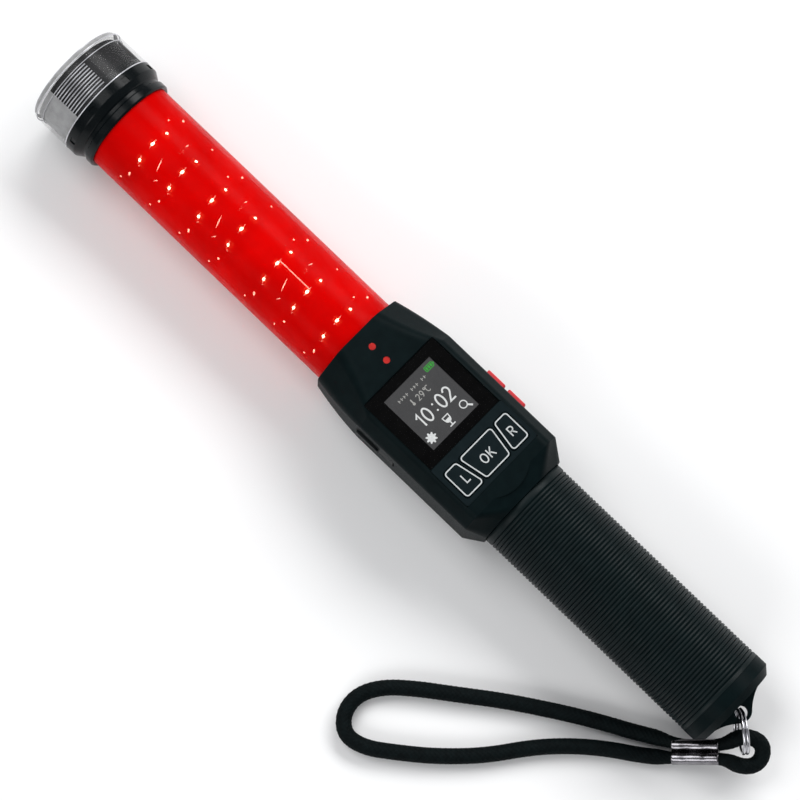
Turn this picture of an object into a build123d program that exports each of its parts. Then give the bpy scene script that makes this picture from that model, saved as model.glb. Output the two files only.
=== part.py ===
from build123d import *
import math
import os

# A traffic baton light lying on its back. Its long axis runs along X with the lens at +X, the display
# faces +Z, the charging port is on the +Y side and the two red side buttons on the -Y side.
# The origin is below the middle of the baton, on the surface that it lies on.

# ---- Driving dimensions, in millimetres ----
TIP_X = 189.0  # front of the lens cap
LUG_X = -189.0  # end of the lug
CAP_RADIUS = 23.75
AXIS = CAP_RADIUS  # height of the baton's axis, so the cap rests on the surface

CAP_LENGTH = 19.5
CAP_WALL = 1.8
CAP_RIB_PITCH = 1.0
CAP_RIBS = 10

COLLAR_LENGTH = 12.9
COLLAR_WAIST = 22.0

TUBE_RADIUS = 20.35
TUBE_WALL = 1.8

HEAD_FRONT = 27.7  # where the tube comes out of the control head
HEAD_FULL = 1.4  # from here back the head has its full width
HEAD_NECK = -57.0  # where it starts to narrow to the grip
HEAD_BACK = -64.7
HEAD_HALF_WIDTH = 25.8
FACE = 24.0  # display face above the axis
HEAD_WALL = 2.3
PARTING = AXIS - 1.0  # plane between the front and the rear shell

GRIP_RADIUS = 20.85
GRIP_END = -173.5
RIB_PITCH = 1.64
RIB_DEPTH = 0.55
RIBS = 64

CORE_RADIUS = 19.0
CORE_BORE = 17.0

END_BAND = -178.8  # end of the smooth band
END_FACE = -181.9  # after its chamfer
LUG_THICKNESS = 2.4
LUG_HOLE_X = -185.0
LUG_HOLE_RADIUS = 2.7

GAP = 0.3  # between pieces that move past each other
TRAVEL = 0.6  # of a key
SIDE_TRAVEL = 0.8  # of a side button
BUTTON_PROUD = 2.2  # how far the side buttons stand out
TAB_PROUD = 1.1  # and the port cover's tab

CORD_DIAMETER = 6.6
FERRULE_LENGTH = 19.0

os.makedirs("parts", exist_ok=True)


def save(piece, name):
    """Labels a finished piece and writes its file."""
    piece.part.label = name
    export_step(piece.part, f"parts/{name}.step")


def across(x):
    """The plane across the baton at x, with its local axes along Y and Z."""
    return Plane(origin=(x, 0, AXIS), x_dir=(0, 1, 0), z_dir=(1, 0, 0))


def level(z):
    """The horizontal plane at a height above the baton's axis."""
    return Plane.XY.offset(AXIS + z)


def sideways(x, y, z):
    """The upright plane along the baton at y, facing +Y, centred at x and at z above the axis."""
    return Plane(origin=(x, y, AXIS + z), x_dir=(1, 0, 0), z_dir=(0, 1, 0))


LENGTHWISE = Plane(origin=(0, 0, AXIS), x_dir=(1, 0, 0), z_dir=(0, -1, 0))
BATON_AXIS = Axis((0, 0, AXIS), (1, 0, 0))


def ring(x_from, x_to, outer, inner):
    """A plain sleeve round the baton's axis."""
    with BuildPart() as sleeve:
        with BuildSketch(across(x_from)):
            Circle(outer)
            Circle(inner, mode=Mode.SUBTRACT)
        extrude(amount=x_to - x_from)
    return sleeve


def turned(points):
    """A body turned round the baton's axis from its outline, given as points of (x, radius)."""
    with BuildPart() as body:
        with BuildSketch(LENGTHWISE):
            with BuildLine():
                Polyline(*points, close=True)
            make_face()
        revolve(axis=BATON_AXIS)
    return body


def coil(plane, pitch, turns, radius, wire_radius):
    """Round wire wound about the plane's normal, starting at the plane's x direction."""
    with BuildPart() as wound:
        with BuildLine():
            line = Helix(pitch, pitch * turns, radius)
        with BuildSketch(Plane(origin=line @ 0, z_dir=line % 0)):
            Circle(wire_radius)
        sweep(path=line)
    with BuildPart() as placed:
        add(wound.part.moved(plane.location))
    return placed


def spread(low, high):
    """Centre and size of a span."""
    return (low + high) / 2, high - low


# ---- Tip: lens cap, its insert and the collar ----
CAP_BACK = TIP_X - CAP_LENGTH
CAP_BORE = CAP_RADIUS - CAP_WALL
SPIGOT_FRONT = CAP_BACK + 4.0
rib_outline = []
for i in range(CAP_RIBS):
    rib_x = SPIGOT_FRONT + 1.0 + i * CAP_RIB_PITCH
    rib_outline += [(rib_x, CAP_BORE), (rib_x + CAP_RIB_PITCH / 2, CAP_BORE - 0.6)]
rib_outline.append((rib_x + CAP_RIB_PITCH, CAP_BORE))
with BuildPart() as lens_cap:
    with BuildSketch(LENGTHWISE):
        with BuildLine():
            Polyline(
                (CAP_BACK, CAP_BORE),
                *rib_outline,
                (TIP_X - 2.0, CAP_BORE),
                (TIP_X - 2.0, 0),
                (TIP_X, 0),
                (TIP_X, CAP_RADIUS),
                (CAP_BACK, CAP_RADIUS),
                close=True,
            )
        make_face()
    revolve(axis=BATON_AXIS)
    fillet(lens_cap.edges().group_by(Axis.X)[-1], 2.4)
save(lens_cap, "lens_cap")

INSERT_RADIUS = 20.5
tip_reflector = turned(
    [
        (CAP_BACK + 1.3, INSERT_RADIUS),
        (TIP_X - 3.2, INSERT_RADIUS),
        (TIP_X - 3.2, INSERT_RADIUS - 0.8),
        (TIP_X - 6.5, INSERT_RADIUS - 1.6),
        (CAP_BACK + 4.0, 8.0),
        (CAP_BACK + 2.8, 8.0),
        (CAP_BACK + 2.8, 12.0),
        (CAP_BACK + 1.3, 12.0),
    ]
)
save(tip_reflector, "tip_reflector")

BOARD = 1.6
tip_board = ring(CAP_BACK - 0.5, CAP_BACK + 1.1, INSERT_RADIUS - 0.1, 2.0)
save(tip_board, "tip_board")

with BuildPart() as tip_leds:
    with BuildSketch(across(CAP_BACK + 1.1)):
        with PolarLocations(4.6, 4):
            Rectangle(3.5, 2.8)
    extrude(amount=1.6)
save(tip_leds, "tip_leds")

COLLAR_BACK = CAP_BACK - COLLAR_LENGTH
TUBE_FRONT = CAP_BACK - 4.2
with BuildPart() as tip_collar:
    with BuildSketch(LENGTHWISE):
        with BuildLine():
            Polyline(
                (COLLAR_BACK, COLLAR_WAIST - 0.6),
                (COLLAR_BACK + 0.7, COLLAR_WAIST),
                (COLLAR_BACK + 3.3, COLLAR_WAIST),
                (COLLAR_BACK + 3.9, COLLAR_WAIST - 0.7),
                (COLLAR_BACK + 5.3, COLLAR_WAIST - 0.7),
                (COLLAR_BACK + 5.9, COLLAR_WAIST),
                (CAP_BACK - 4.5, CAP_RADIUS - 0.1),
                (CAP_BACK - 4.1, CAP_RADIUS),
                (CAP_BACK - 0.1, CAP_RADIUS),
                (CAP_BACK - 0.1, CAP_BORE - 0.05),
                (SPIGOT_FRONT, CAP_BORE - 0.05),
                (SPIGOT_FRONT, INSERT_RADIUS + 0.1),
                (CAP_BACK - 0.6, INSERT_RADIUS + 0.1),
                (CAP_BACK - 0.6, 14.0),
                (CAP_BACK - 2.4, 14.0),
                (CAP_BACK - 2.4, TUBE_RADIUS + 0.1),
                (COLLAR_BACK, TUBE_RADIUS + 0.1),
                close=True,
            )
        make_face()
    revolve(axis=BATON_AXIS)
    with BuildSketch(across(CAP_BACK - 4.1)):
        with PolarLocations(CAP_RADIUS, 8, start_angle=22.5):
            Rectangle(0.9, 3.2)
    extrude(amount=2.6, mode=Mode.SUBTRACT)
save(tip_collar, "tip_collar")

collar_seal = ring(TUBE_FRONT + 0.1, CAP_BACK - 2.5, TUBE_RADIUS, TUBE_RADIUS - 1.7)
save(collar_seal, "collar_seal")

# ---- Light tube with its strips of lamps ----
TUBE_BACK = HEAD_FRONT - 8.0
light_tube = ring(TUBE_BACK, TUBE_FRONT, TUBE_RADIUS, TUBE_RADIUS - TUBE_WALL)
save(light_tube, "light_tube")

tube_seal = ring(TUBE_BACK - 1.3, TUBE_BACK - 0.1, TUBE_RADIUS, TUBE_RADIUS - 1.7)
save(tube_seal, "tube_seal")

SPINE_FLAT = 6.5  # from the axis to each flat of the six-sided spine
SPINE_BACK, SPINE_FRONT = TUBE_BACK - 1.0, CAP_BACK - 2.6
STRIP_THICKNESS = 1.0
STRIPS = 6
LED_ROWS = [143.0 - 16.8 * i for i in range(4)] + [72.4 - 16.8 * i for i in range(3)]
strip_angles = [360 / STRIPS * i + 90 for i in range(STRIPS)]

with BuildPart() as led_spine:
    with BuildSketch(across(SPINE_BACK)):
        RegularPolygon(SPINE_FLAT, STRIPS, major_radius=False)
        Circle(SPINE_FLAT - 1.6, mode=Mode.SUBTRACT)
    extrude(amount=SPINE_FRONT - SPINE_BACK)
save(led_spine, "led_spine")

with BuildPart() as led_boards:
    for angle in strip_angles:
        with BuildSketch(across(SPINE_BACK + 1.0)):
            with Locations(Rotation(0, 0, angle) * Pos(SPINE_FLAT + STRIP_THICKNESS / 2 + 0.02, 0)):
                Rectangle(STRIP_THICKNESS, 6.0)
        extrude(amount=SPINE_FRONT - SPINE_BACK - 2.0)
save(led_boards, "led_boards")

LED_LENGTH, LED_WIDTH, LED_HEIGHT = 3.5, 2.8, 1.4
with BuildPart() as tube_leds:
    for row_x in LED_ROWS:
        for angle in strip_angles:
            with BuildSketch(across(row_x - LED_LENGTH / 2)):
                led_radius = SPINE_FLAT + STRIP_THICKNESS + LED_HEIGHT / 2 + 0.04
                with Locations(Rotation(0, 0, angle) * Pos(led_radius, 0)):
                    Rectangle(LED_HEIGHT, LED_WIDTH)
            extrude(amount=LED_LENGTH)
save(tube_leds, "tube_leds")

# ---- Control head: two shells parted along the baton ----
# Across the baton the head is an octagon with rounded corners. Each station gives
# x, half width, half of the top flat, top, shoulder, half of the back flat, back, hip and rounding.
NOSE = [
    (HEAD_FRONT, 22.4, 10.5, 22.5, 9.5, 10.5, 22.6, 9.5, 7.5),
    (14.5, 24.7, 14.5, 23.6, 12.5, 12.5, 23.4, 10.5, 6.5),
    (HEAD_FULL, HEAD_HALF_WIDTH, 20.6, FACE, 16.5, 14.5, AXIS, 11.0, 4.5),
]
NECK = [
    (HEAD_NECK, HEAD_HALF_WIDTH, 20.6, FACE, 16.5, 14.5, AXIS, 11.0, 4.5),
    (HEAD_BACK, 21.3, 9.5, 21.4, 9.2, 9.5, 21.4, 9.2, 8.0),
]


def head_section(station, inset):
    """The head's section at one station, moved in by inset for the hollow."""
    x, wide, flat, top, shoulder, back_flat, back, hip, rounding = station
    corners = [
        (flat - inset / 2, top - inset),
        (wide - inset, shoulder - inset / 2),
        (wide - inset, inset / 2 - hip),
        (back_flat - inset / 2, inset - back),
    ]
    mirrored = [(-y, z) for y, z in reversed(corners)]
    with BuildSketch(across(x)) as section:
        with BuildLine():
            Polyline(*corners, *mirrored, close=True)
        make_face()
        fillet(section.vertices(), rounding - inset / 2)
    return section.sketch


def head_body(inset):
    """The head's solid outline, or its hollow where inset is the wall."""
    nose = [head_section(s, inset) for s in NOSE]
    neck = [head_section(s, inset) for s in NECK]
    with BuildPart() as body:
        loft(nose)
        loft([nose[-1], neck[0]], ruled=True)
        loft(neck, ruled=True)
    return body.part


head_outline = head_body(0)
head_hollow = head_body(HEAD_WALL)

HOLLOW_FRONT = TUBE_BACK - 3.0
HOLLOW_BACK = HEAD_NECK - 1.5
with BuildPart() as head_room:
    add(head_hollow)
    split(bisect_by=across(HOLLOW_FRONT), keep=Keep.BOTTOM)
    split(bisect_by=across(HOLLOW_BACK), keep=Keep.TOP)

# Face layout: window, keypad panel and keys.
WINDOW_FRONT, WINDOW_BACK, WINDOW_HALF = 5.5, -31.5, 19.5
WINDOW_DEPTH = 1.3
LCD_FRONT, LCD_BACK, LCD_HALF = 0.7, -26.6, 12.9
PANEL_BACK, PANEL_HALF = -51.9, 19.9
KEY_FRONT, KEY_BACK = -35.9, -49.7
KEY_TOP, KEY_BASE = FACE + 0.35, FACE - 1.3
KEY_FLOOR = KEY_BASE - TRAVEL - GAP
STEM_RADIUS = 1.5
TONGUE_RADIUS = 16.5
TONGUE_END = -60.4
INDICATORS = [19.6, 11.7]
INDICATOR_RADIUS = 1.5

# Each key's corners: front edge from left to right, then the rear edge back again.
KEYS = {
    "key_left": [(KEY_FRONT, 17.7), (KEY_FRONT, 10.4), (KEY_BACK, 7.6), (KEY_BACK, 17.7)],
    "key_ok": [(KEY_FRONT, 9.2), (KEY_FRONT, -9.6), (KEY_BACK, -7.2), (KEY_BACK, 6.6)],
    "key_right": [(KEY_FRONT, -10.8), (KEY_FRONT, -18.0), (KEY_BACK, -18.0), (KEY_BACK, -8.4)],
}
KEY_STEMS = {"key_left": 13.6, "key_ok": 0.0, "key_right": -13.8}
KEY_MIDDLE = (KEY_FRONT + KEY_BACK) / 2


def key_outline(corners, grow):
    """Sketches one key's rounded outline, moved outwards by grow, in the current sketch."""
    with BuildSketch(mode=Mode.PRIVATE) as outline:
        with BuildLine():
            Polyline(*corners, close=True)
        make_face()
        fillet(outline.vertices(), 1.3)
        if grow:
            offset(amount=grow)
    add(outline.sketch)


# Side controls and charging port.
BUTTON_SPANS = {"side_button_front": (-28.2, -18.8), "side_button_rear": (-39.3, -30.1)}
BUTTON_Z, BUTTON_HALF_HEIGHT = 8.0, 3.0
SIDE_INNER = HEAD_HALF_WIDTH - HEAD_WALL
PORT_BACK, PORT_FRONT = -17.4, 2.3
PORT_Z, PORT_HALF_HEIGHT = 5.0, 3.8
COVER_THICKNESS = 1.4
PORT_FLOOR = HEAD_HALF_WIDTH - COVER_THICKNESS - 2 * GAP
SOCKET_X, SOCKET_LENGTH, SOCKET_HEIGHT = -7.5, 9.0, 3.3
SCREWS = [(10.0, 13.5), (10.0, -13.5), (-50.5, 13.5), (-50.5, -13.5)]
SCREW_RADIUS, SCREW_HEAD_RADIUS, BOSS_RADIUS = 1.25, 2.4, 3.6

with BuildPart() as shells:
    add(head_outline)
    add(head_room.part, mode=Mode.SUBTRACT)
    with BuildSketch(level(FACE)):
        with Locations(((TONGUE_END + TONGUE_RADIUS), 0)):
            Circle(TONGUE_RADIUS)
        with Locations((PANEL_BACK + 15.0, 0)):
            Rectangle(30.0, 60.0, mode=Mode.SUBTRACT)
    extrude(amount=-3.0)
    with BuildSketch(across(HEAD_FRONT)):
        Circle(TUBE_RADIUS + 0.1)
    extrude(amount=TUBE_BACK - 1.4 - HEAD_FRONT, mode=Mode.SUBTRACT)
    with BuildSketch(across(HEAD_FRONT)):
        Circle(TUBE_RADIUS - 3.0)
    extrude(amount=HOLLOW_FRONT - HEAD_FRONT - 1.0, mode=Mode.SUBTRACT)
    with BuildSketch(across(HEAD_BACK)):
        Circle(CORE_RADIUS + 0.05)
    extrude(amount=HOLLOW_BACK - HEAD_BACK + 1.0, mode=Mode.SUBTRACT)

with BuildPart() as front_shell:
    add(shells.part)
    split(bisect_by=Plane.XY.offset(PARTING), keep=Keep.TOP)
    # pad below the keys and block behind the port
    pad_middle, pad_length = spread(KEY_BACK - 1.5, KEY_FRONT + 1.5)
    with BuildSketch(level(KEY_FLOOR - 1.8)):
        with Locations((pad_middle, 0)):
            Rectangle(pad_length, 2 * PANEL_HALF - 1.0)
    extrude(amount=3.0)
    port_middle, port_length = spread(PORT_BACK - 1.6, PORT_FRONT + 1.6)
    with BuildSketch(level(PORT_Z - PORT_HALF_HEIGHT - 1.6)):
        with Locations((port_middle, SIDE_INNER - 0.6)):
            Rectangle(port_length, 3.0)
    extrude(amount=2 * PORT_HALF_HEIGHT + 3.2)
    for boss_x, boss_y in SCREWS:
        with BuildSketch(Plane.XY.offset(PARTING)):
            with Locations((boss_x, boss_y)):
                Circle(BOSS_RADIUS)
        extrude(amount=AXIS + FACE - HEAD_WALL - 1.0 - PARTING)
        with BuildSketch(Plane.XY.offset(PARTING)):
            with Locations((boss_x, boss_y)):
                Circle(SCREW_RADIUS + 0.05)
        extrude(amount=6.5, mode=Mode.SUBTRACT)
    # window seat and the opening over the display
    window_middle, window_length = spread(WINDOW_BACK, WINDOW_FRONT)
    with BuildSketch(level(FACE)):
        with Locations((window_middle, 0)):
            Rectangle(window_length + 0.2, 2 * WINDOW_HALF + 0.2)
    extrude(amount=-WINDOW_DEPTH, mode=Mode.SUBTRACT)
    lcd_middle, lcd_length = spread(LCD_BACK - 1.5, LCD_FRONT + 1.5)
    with BuildSketch(level(FACE)):
        with Locations((lcd_middle, 0)):
            Rectangle(lcd_length, 2 * LCD_HALF + 3.0)
    extrude(amount=-6.0, mode=Mode.SUBTRACT)
    # keypad seat, key pockets and the holes for their stems
    panel_middle, panel_length = spread(PANEL_BACK, WINDOW_BACK)
    with BuildSketch(level(FACE)):
        with Locations((panel_middle, 0)):
            Rectangle(panel_length, 2 * PANEL_HALF + 0.2)
    extrude(amount=-WINDOW_DEPTH, mode=Mode.SUBTRACT)
    for key_name, key_corners in KEYS.items():
        with BuildSketch(level(FACE)):
            key_outline(key_corners, GAP)
        extrude(amount=KEY_FLOOR - FACE, mode=Mode.SUBTRACT)
        with BuildSketch(level(FACE)):
            with Locations((KEY_MIDDLE, KEY_STEMS[key_name])):
                Circle(STEM_RADIUS + GAP)
        extrude(amount=-8.0, mode=Mode.SUBTRACT)
    for indicator_x in INDICATORS:
        with BuildSketch(level(FACE + 1.0)):
            with Locations((indicator_x, 0)):
                Circle(INDICATOR_RADIUS)
        extrude(amount=-3.3, mode=Mode.SUBTRACT)
    # windows for the side buttons
    for low, high in BUTTON_SPANS.values():
        slot_middle, slot_length = spread(low, high)
        with BuildSketch(sideways(slot_middle, -HEAD_HALF_WIDTH - 2.0, BUTTON_Z)):
            RectangleRounded(slot_length + 2 * GAP, 2 * (BUTTON_HALF_HEIGHT + GAP), 1.2)
        extrude(amount=HEAD_WALL + 4.0, mode=Mode.SUBTRACT)
    # seat of the port cover and the hole for the socket
    seat_middle, seat_length = spread(PORT_BACK - 2 * GAP, PORT_FRONT + GAP)
    seat_plane = sideways(0, PORT_FLOOR, PORT_Z)
    with BuildSketch(seat_plane):
        with Locations((seat_middle, 0)):
            Rectangle(seat_length, 2 * (PORT_HALF_HEIGHT + GAP))
    extrude(amount=5.0, mode=Mode.SUBTRACT)
    with BuildSketch(seat_plane):
        with Locations((SOCKET_X, 0)):
            RectangleRounded(SOCKET_LENGTH + 0.4, SOCKET_HEIGHT + 0.4, 1.4)
    extrude(amount=-6.0, mode=Mode.SUBTRACT)
save(front_shell, "front_shell")

with BuildPart() as rear_shell:
    add(shells.part)
    split(bisect_by=Plane.XY.offset(PARTING), keep=Keep.BOTTOM)
    for boss_x, boss_y in SCREWS:
        with BuildSketch(Plane.XY.offset(PARTING - 0.1)):
            with Locations((boss_x, boss_y)):
                Circle(BOSS_RADIUS + 0.6)
        extrude(until=Until.NEXT, dir=(0, 0, -1))
        with BuildSketch(Plane.XY.offset(-1.0)):
            with Locations((boss_x, boss_y)):
                Circle(SCREW_RADIUS + 0.2)
        extrude(amount=AXIS + 4.0, mode=Mode.SUBTRACT)
        with BuildSketch(Plane.XY.offset(-1.0)):
            with Locations((boss_x, boss_y)):
                Circle(SCREW_HEAD_RADIUS + 0.3)
        extrude(amount=8.0, mode=Mode.SUBTRACT)
save(rear_shell, "rear_shell")

with BuildPart() as housing_screws:
    for screw_x, screw_y in SCREWS:
        with BuildSketch(Plane.XY.offset(7.0)):
            with Locations((screw_x, screw_y)):
                Circle(SCREW_RADIUS)
        extrude(amount=PARTING + 5.5 - 7.0)
        with BuildSketch(Plane.XY.offset(5.2)):
            with Locations((screw_x, screw_y)):
                Circle(SCREW_HEAD_RADIUS)
        extrude(amount=1.8)
        with BuildSketch(Plane.XY.offset(5.2)):
            with Locations((screw_x, screw_y)):
                Rectangle(2.6, 0.6)
                Rectangle(0.6, 2.6)
        extrude(amount=1.0, mode=Mode.SUBTRACT)
save(housing_screws, "housing_screws")

# ---- Face: window, display, keypad ----
with BuildPart() as screen_window:
    with BuildSketch(level(FACE - WINDOW_DEPTH + 0.05)):
        with Locations((window_middle, 0)):
            RectangleRounded(window_length, 2 * WINDOW_HALF, 0.8)
    extrude(amount=WINDOW_DEPTH - 0.1)
    chamfer(screen_window.faces().sort_by(Axis.Z)[-1].edges(), 0.2)
save(screen_window, "screen_window")

DISPLAY_BACK = FACE - 6.2
with BuildPart() as display_module:
    with BuildSketch(level(DISPLAY_BACK)):
        with Locations((lcd_middle - 0.8, 0)):
            Rectangle(lcd_length + 2.2, 2 * LCD_HALF + 6.0)
    extrude(amount=3.4)
    with BuildSketch(level(DISPLAY_BACK + 3.4)):
        with Locations((lcd_middle, 0)):
            Rectangle(lcd_length - 0.6, 2 * LCD_HALF + 2.4)
    extrude(amount=FACE - WINDOW_DEPTH - 0.1 - DISPLAY_BACK - 3.4)
save(display_module, "display_module")

with BuildPart() as keypad_panel:
    with BuildSketch(level(FACE - WINDOW_DEPTH + 0.05)):
        with Locations((panel_middle, 0)):
            RectangleRounded(panel_length - 0.2, 2 * PANEL_HALF, 0.8)
        for key_corners in KEYS.values():
            with BuildSketch(mode=Mode.PRIVATE) as well:
                key_outline(key_corners, GAP)
            add(well.sketch, mode=Mode.SUBTRACT)
    extrude(amount=WINDOW_DEPTH - 0.1)
save(keypad_panel, "keypad_panel")

BOARD_TOP = FACE - 7.4
SWITCH_HEIGHT = 1.0


def make_key(corners, stem_y):
    """One key: a flat cap with rounded edges on a stem that reaches its dome switch."""
    with BuildPart() as key:
        with BuildSketch(level(KEY_BASE)):
            key_outline(corners, 0)
        extrude(amount=KEY_TOP - KEY_BASE)
        fillet(key.faces().sort_by(Axis.Z)[-1].edges(), 0.3)
        with BuildSketch(level(KEY_BASE)):
            with Locations((KEY_MIDDLE, stem_y)):
                Circle(STEM_RADIUS)
        extrude(amount=BOARD_TOP + SWITCH_HEIGHT + TRAVEL + GAP - KEY_BASE)
    return key


for key_name, key_corners in KEYS.items():
    save(make_key(key_corners, KEY_STEMS[key_name]), key_name)

board_middle, board_length = spread(-49.5, 13.0)
with BuildPart() as main_board:
    with BuildSketch(level(BOARD_TOP - BOARD)):
        with Locations((board_middle, 0)):
            Rectangle(board_length, 34.0)
        with Locations(*SCREWS):
            Circle(BOSS_RADIUS + GAP, mode=Mode.SUBTRACT)
    extrude(amount=BOARD)
save(main_board, "main_board")

with BuildPart() as dome_switches:
    for stem_y in KEY_STEMS.values():
        with BuildSketch(level(BOARD_TOP)):
            with Locations((KEY_MIDDLE, stem_y)):
                Rectangle(5.0, 5.0)
        extrude(amount=SWITCH_HEIGHT)
save(dome_switches, "dome_switches")

with BuildPart() as indicator_lenses:
    for indicator_x, lens_top in zip(INDICATORS, (FACE - 0.95, FACE - 0.6)):
        with BuildSketch(level(FACE - 2.25)):
            with Locations((indicator_x, 0)):
                Circle(INDICATOR_RADIUS - 0.05)
        extrude(amount=lens_top - (FACE - 2.25))
save(indicator_lenses, "indicator_lenses")

with BuildPart() as breath_sensor:
    with BuildSketch(level(BOARD_TOP - BOARD)):
        with Locations((8.0, 0)):
            Circle(4.6)
    extrude(amount=-9.0)
save(breath_sensor, "breath_sensor")

with BuildPart() as buzzer:
    with BuildSketch(level(BOARD_TOP - BOARD)):
        with Locations((-42.0, 0)):
            Circle(6.0)
            Circle(1.0, mode=Mode.SUBTRACT)
    extrude(amount=-5.5)
save(buzzer, "buzzer")

# ---- Side buttons and charging port ----
BUTTON_STEM_END = -(SIDE_INNER - 3.2)


def make_side_button(low, high):
    """One side button: a rounded cap through the wall, a flange behind it and a short stem."""
    middle, length = spread(low, high)
    with BuildPart() as button:
        with BuildSketch(sideways(middle, -HEAD_HALF_WIDTH - BUTTON_PROUD, BUTTON_Z)):
            RectangleRounded(length, 2 * BUTTON_HALF_HEIGHT, 1.0)
        extrude(amount=HEAD_WALL + BUTTON_PROUD + GAP)
        fillet(button.faces().sort_by(Axis.Y)[0].edges(), 0.5)
        with BuildSketch(sideways(middle, -SIDE_INNER + GAP, BUTTON_Z)):
            Rectangle(length + 0.9, 2 * BUTTON_HALF_HEIGHT + 1.6)
        extrude(amount=0.9)
        with BuildSketch(sideways(middle, -SIDE_INNER + GAP, BUTTON_Z)):
            Circle(1.4)
        extrude(amount=BUTTON_STEM_END + SIDE_INNER - GAP)
    return button


for button_name, (low, high) in BUTTON_SPANS.items():
    save(make_side_button(low, high), button_name)

SIDE_SWITCH_FACE = BUTTON_STEM_END + SIDE_TRAVEL + GAP
with BuildPart() as side_switches:
    for low, high in BUTTON_SPANS.values():
        with BuildSketch(sideways((low + high) / 2, SIDE_SWITCH_FACE, BUTTON_Z)):
            Rectangle(6.0, 5.0)
        extrude(amount=2.4)
save(side_switches, "side_switches")

side_board_middle, side_board_length = spread(-42.0, -16.0)
with BuildPart() as side_board:
    with BuildSketch(sideways(side_board_middle, SIDE_SWITCH_FACE + 2.4, BUTTON_Z - 0.5)):
        Rectangle(side_board_length, 12.0)
    extrude(amount=1.2)
save(side_board, "side_board")

cover_middle, cover_length = spread(PORT_BACK, PORT_FRONT)
tab_middle, tab_length = spread(-9.5, PORT_FRONT)
cover_plane = sideways(0, HEAD_HALF_WIDTH - COVER_THICKNESS, PORT_Z)
with BuildPart() as port_cover:
    with BuildSketch(cover_plane):
        with Locations((cover_middle, 0)):
            Rectangle(cover_length, 2 * PORT_HALF_HEIGHT)
    extrude(amount=COVER_THICKNESS)
    with BuildSketch(cover_plane):
        with Locations((tab_middle, 0)):
            RectangleRounded(tab_length, 5.2, 1.6)
    extrude(amount=COVER_THICKNESS + TAB_PROUD)
    fillet(port_cover.faces().sort_by(Axis.Y)[-1].edges(), 0.5)
save(port_cover, "port_cover")

with BuildPart() as charge_socket:
    with BuildSketch(seat_plane.offset(-0.1)):
        with Locations((SOCKET_X, 0)):
            RectangleRounded(SOCKET_LENGTH, SOCKET_HEIGHT, 1.2)
    extrude(amount=-7.0)
    with BuildSketch(seat_plane.offset(-0.1)):
        with Locations((SOCKET_X, 0)):
            RectangleRounded(SOCKET_LENGTH - 0.7, SOCKET_HEIGHT - 0.7, 0.9)
            Rectangle(SOCKET_LENGTH - 2.4, 0.7, mode=Mode.SUBTRACT)
    extrude(amount=-5.5, mode=Mode.SUBTRACT)
save(charge_socket, "charge_socket")

# ---- Grip: core, ribbed sleeve and battery ----
CORE_FRONT = HOLLOW_BACK + 1.0
with BuildPart() as handle_core:
    with BuildSketch(across(GRIP_END - 1.0)):
        Circle(CORE_RADIUS)
        Circle(CORE_BORE, mode=Mode.SUBTRACT)
    extrude(amount=CORE_FRONT - GRIP_END + 1.0)
    with BuildSketch(across(CORE_FRONT - 0.9)):
        Circle(CORE_RADIUS + 1.4)
        Circle(CORE_BORE, mode=Mode.SUBTRACT)
    extrude(amount=1.8)
save(handle_core, "handle_core")

SLEEVE_FRONT = HEAD_BACK - 0.1
rib_start = SLEEVE_FRONT - 2.6
sleeve_outline = [(SLEEVE_FRONT, CORE_RADIUS + 0.05), (SLEEVE_FRONT, GRIP_RADIUS)]
for i in range(RIBS):
    groove = rib_start - i * RIB_PITCH
    sleeve_outline += [
        (groove, GRIP_RADIUS),
        (groove - 0.22 * RIB_PITCH, GRIP_RADIUS - RIB_DEPTH),
        (groove - 0.42 * RIB_PITCH, GRIP_RADIUS - RIB_DEPTH),
        (groove - 0.64 * RIB_PITCH, GRIP_RADIUS),
    ]
sleeve_outline += [(GRIP_END, GRIP_RADIUS), (GRIP_END, CORE_RADIUS + 0.05)]
grip_sleeve = turned(sleeve_outline)
save(grip_sleeve, "grip_sleeve")

CELL_RADIUS, CELL_LENGTH, CELL_FRONT = 13.1, 65.0, -78.0
CELL_BACK = CELL_FRONT - CELL_LENGTH
with BuildPart() as battery_cell:
    with BuildSketch(across(CELL_BACK)):
        Circle(CELL_RADIUS)
    extrude(amount=CELL_LENGTH - 1.5)
    fillet(battery_cell.edges().filter_by(GeomType.CIRCLE), 0.8)
    with BuildSketch(across(CELL_FRONT - 1.5)):
        Circle(4.0)
    extrude(amount=1.5)
save(battery_cell, "battery_cell")

with BuildPart() as battery_holder:
    with BuildSketch(across(CELL_BACK - 1.0)):
        Circle(CORE_BORE - 0.1)
        Circle(CELL_RADIUS + 0.4, mode=Mode.SUBTRACT)
        with Locations((0, 20.0)):
            Rectangle(14.0, 40.0, mode=Mode.SUBTRACT)
    extrude(amount=CELL_LENGTH + 2.0)
save(battery_holder, "battery_holder")

contact_plate = ring(CELL_FRONT + 1.05, CELL_FRONT + 1.85, CORE_BORE - 0.1, 1.5)
save(contact_plate, "contact_plate")

SPRING_RADIUS, SPRING_WIRE, SPRING_PITCH, SPRING_TURNS = 6.5, 0.5, 3.0, 4
SPRING_BACK = CELL_BACK - 0.7 - SPRING_PITCH * SPRING_TURNS
contact_spring = coil(across(SPRING_BACK), SPRING_PITCH, SPRING_TURNS, SPRING_RADIUS, SPRING_WIRE)
save(contact_spring, "contact_spring")

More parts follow.
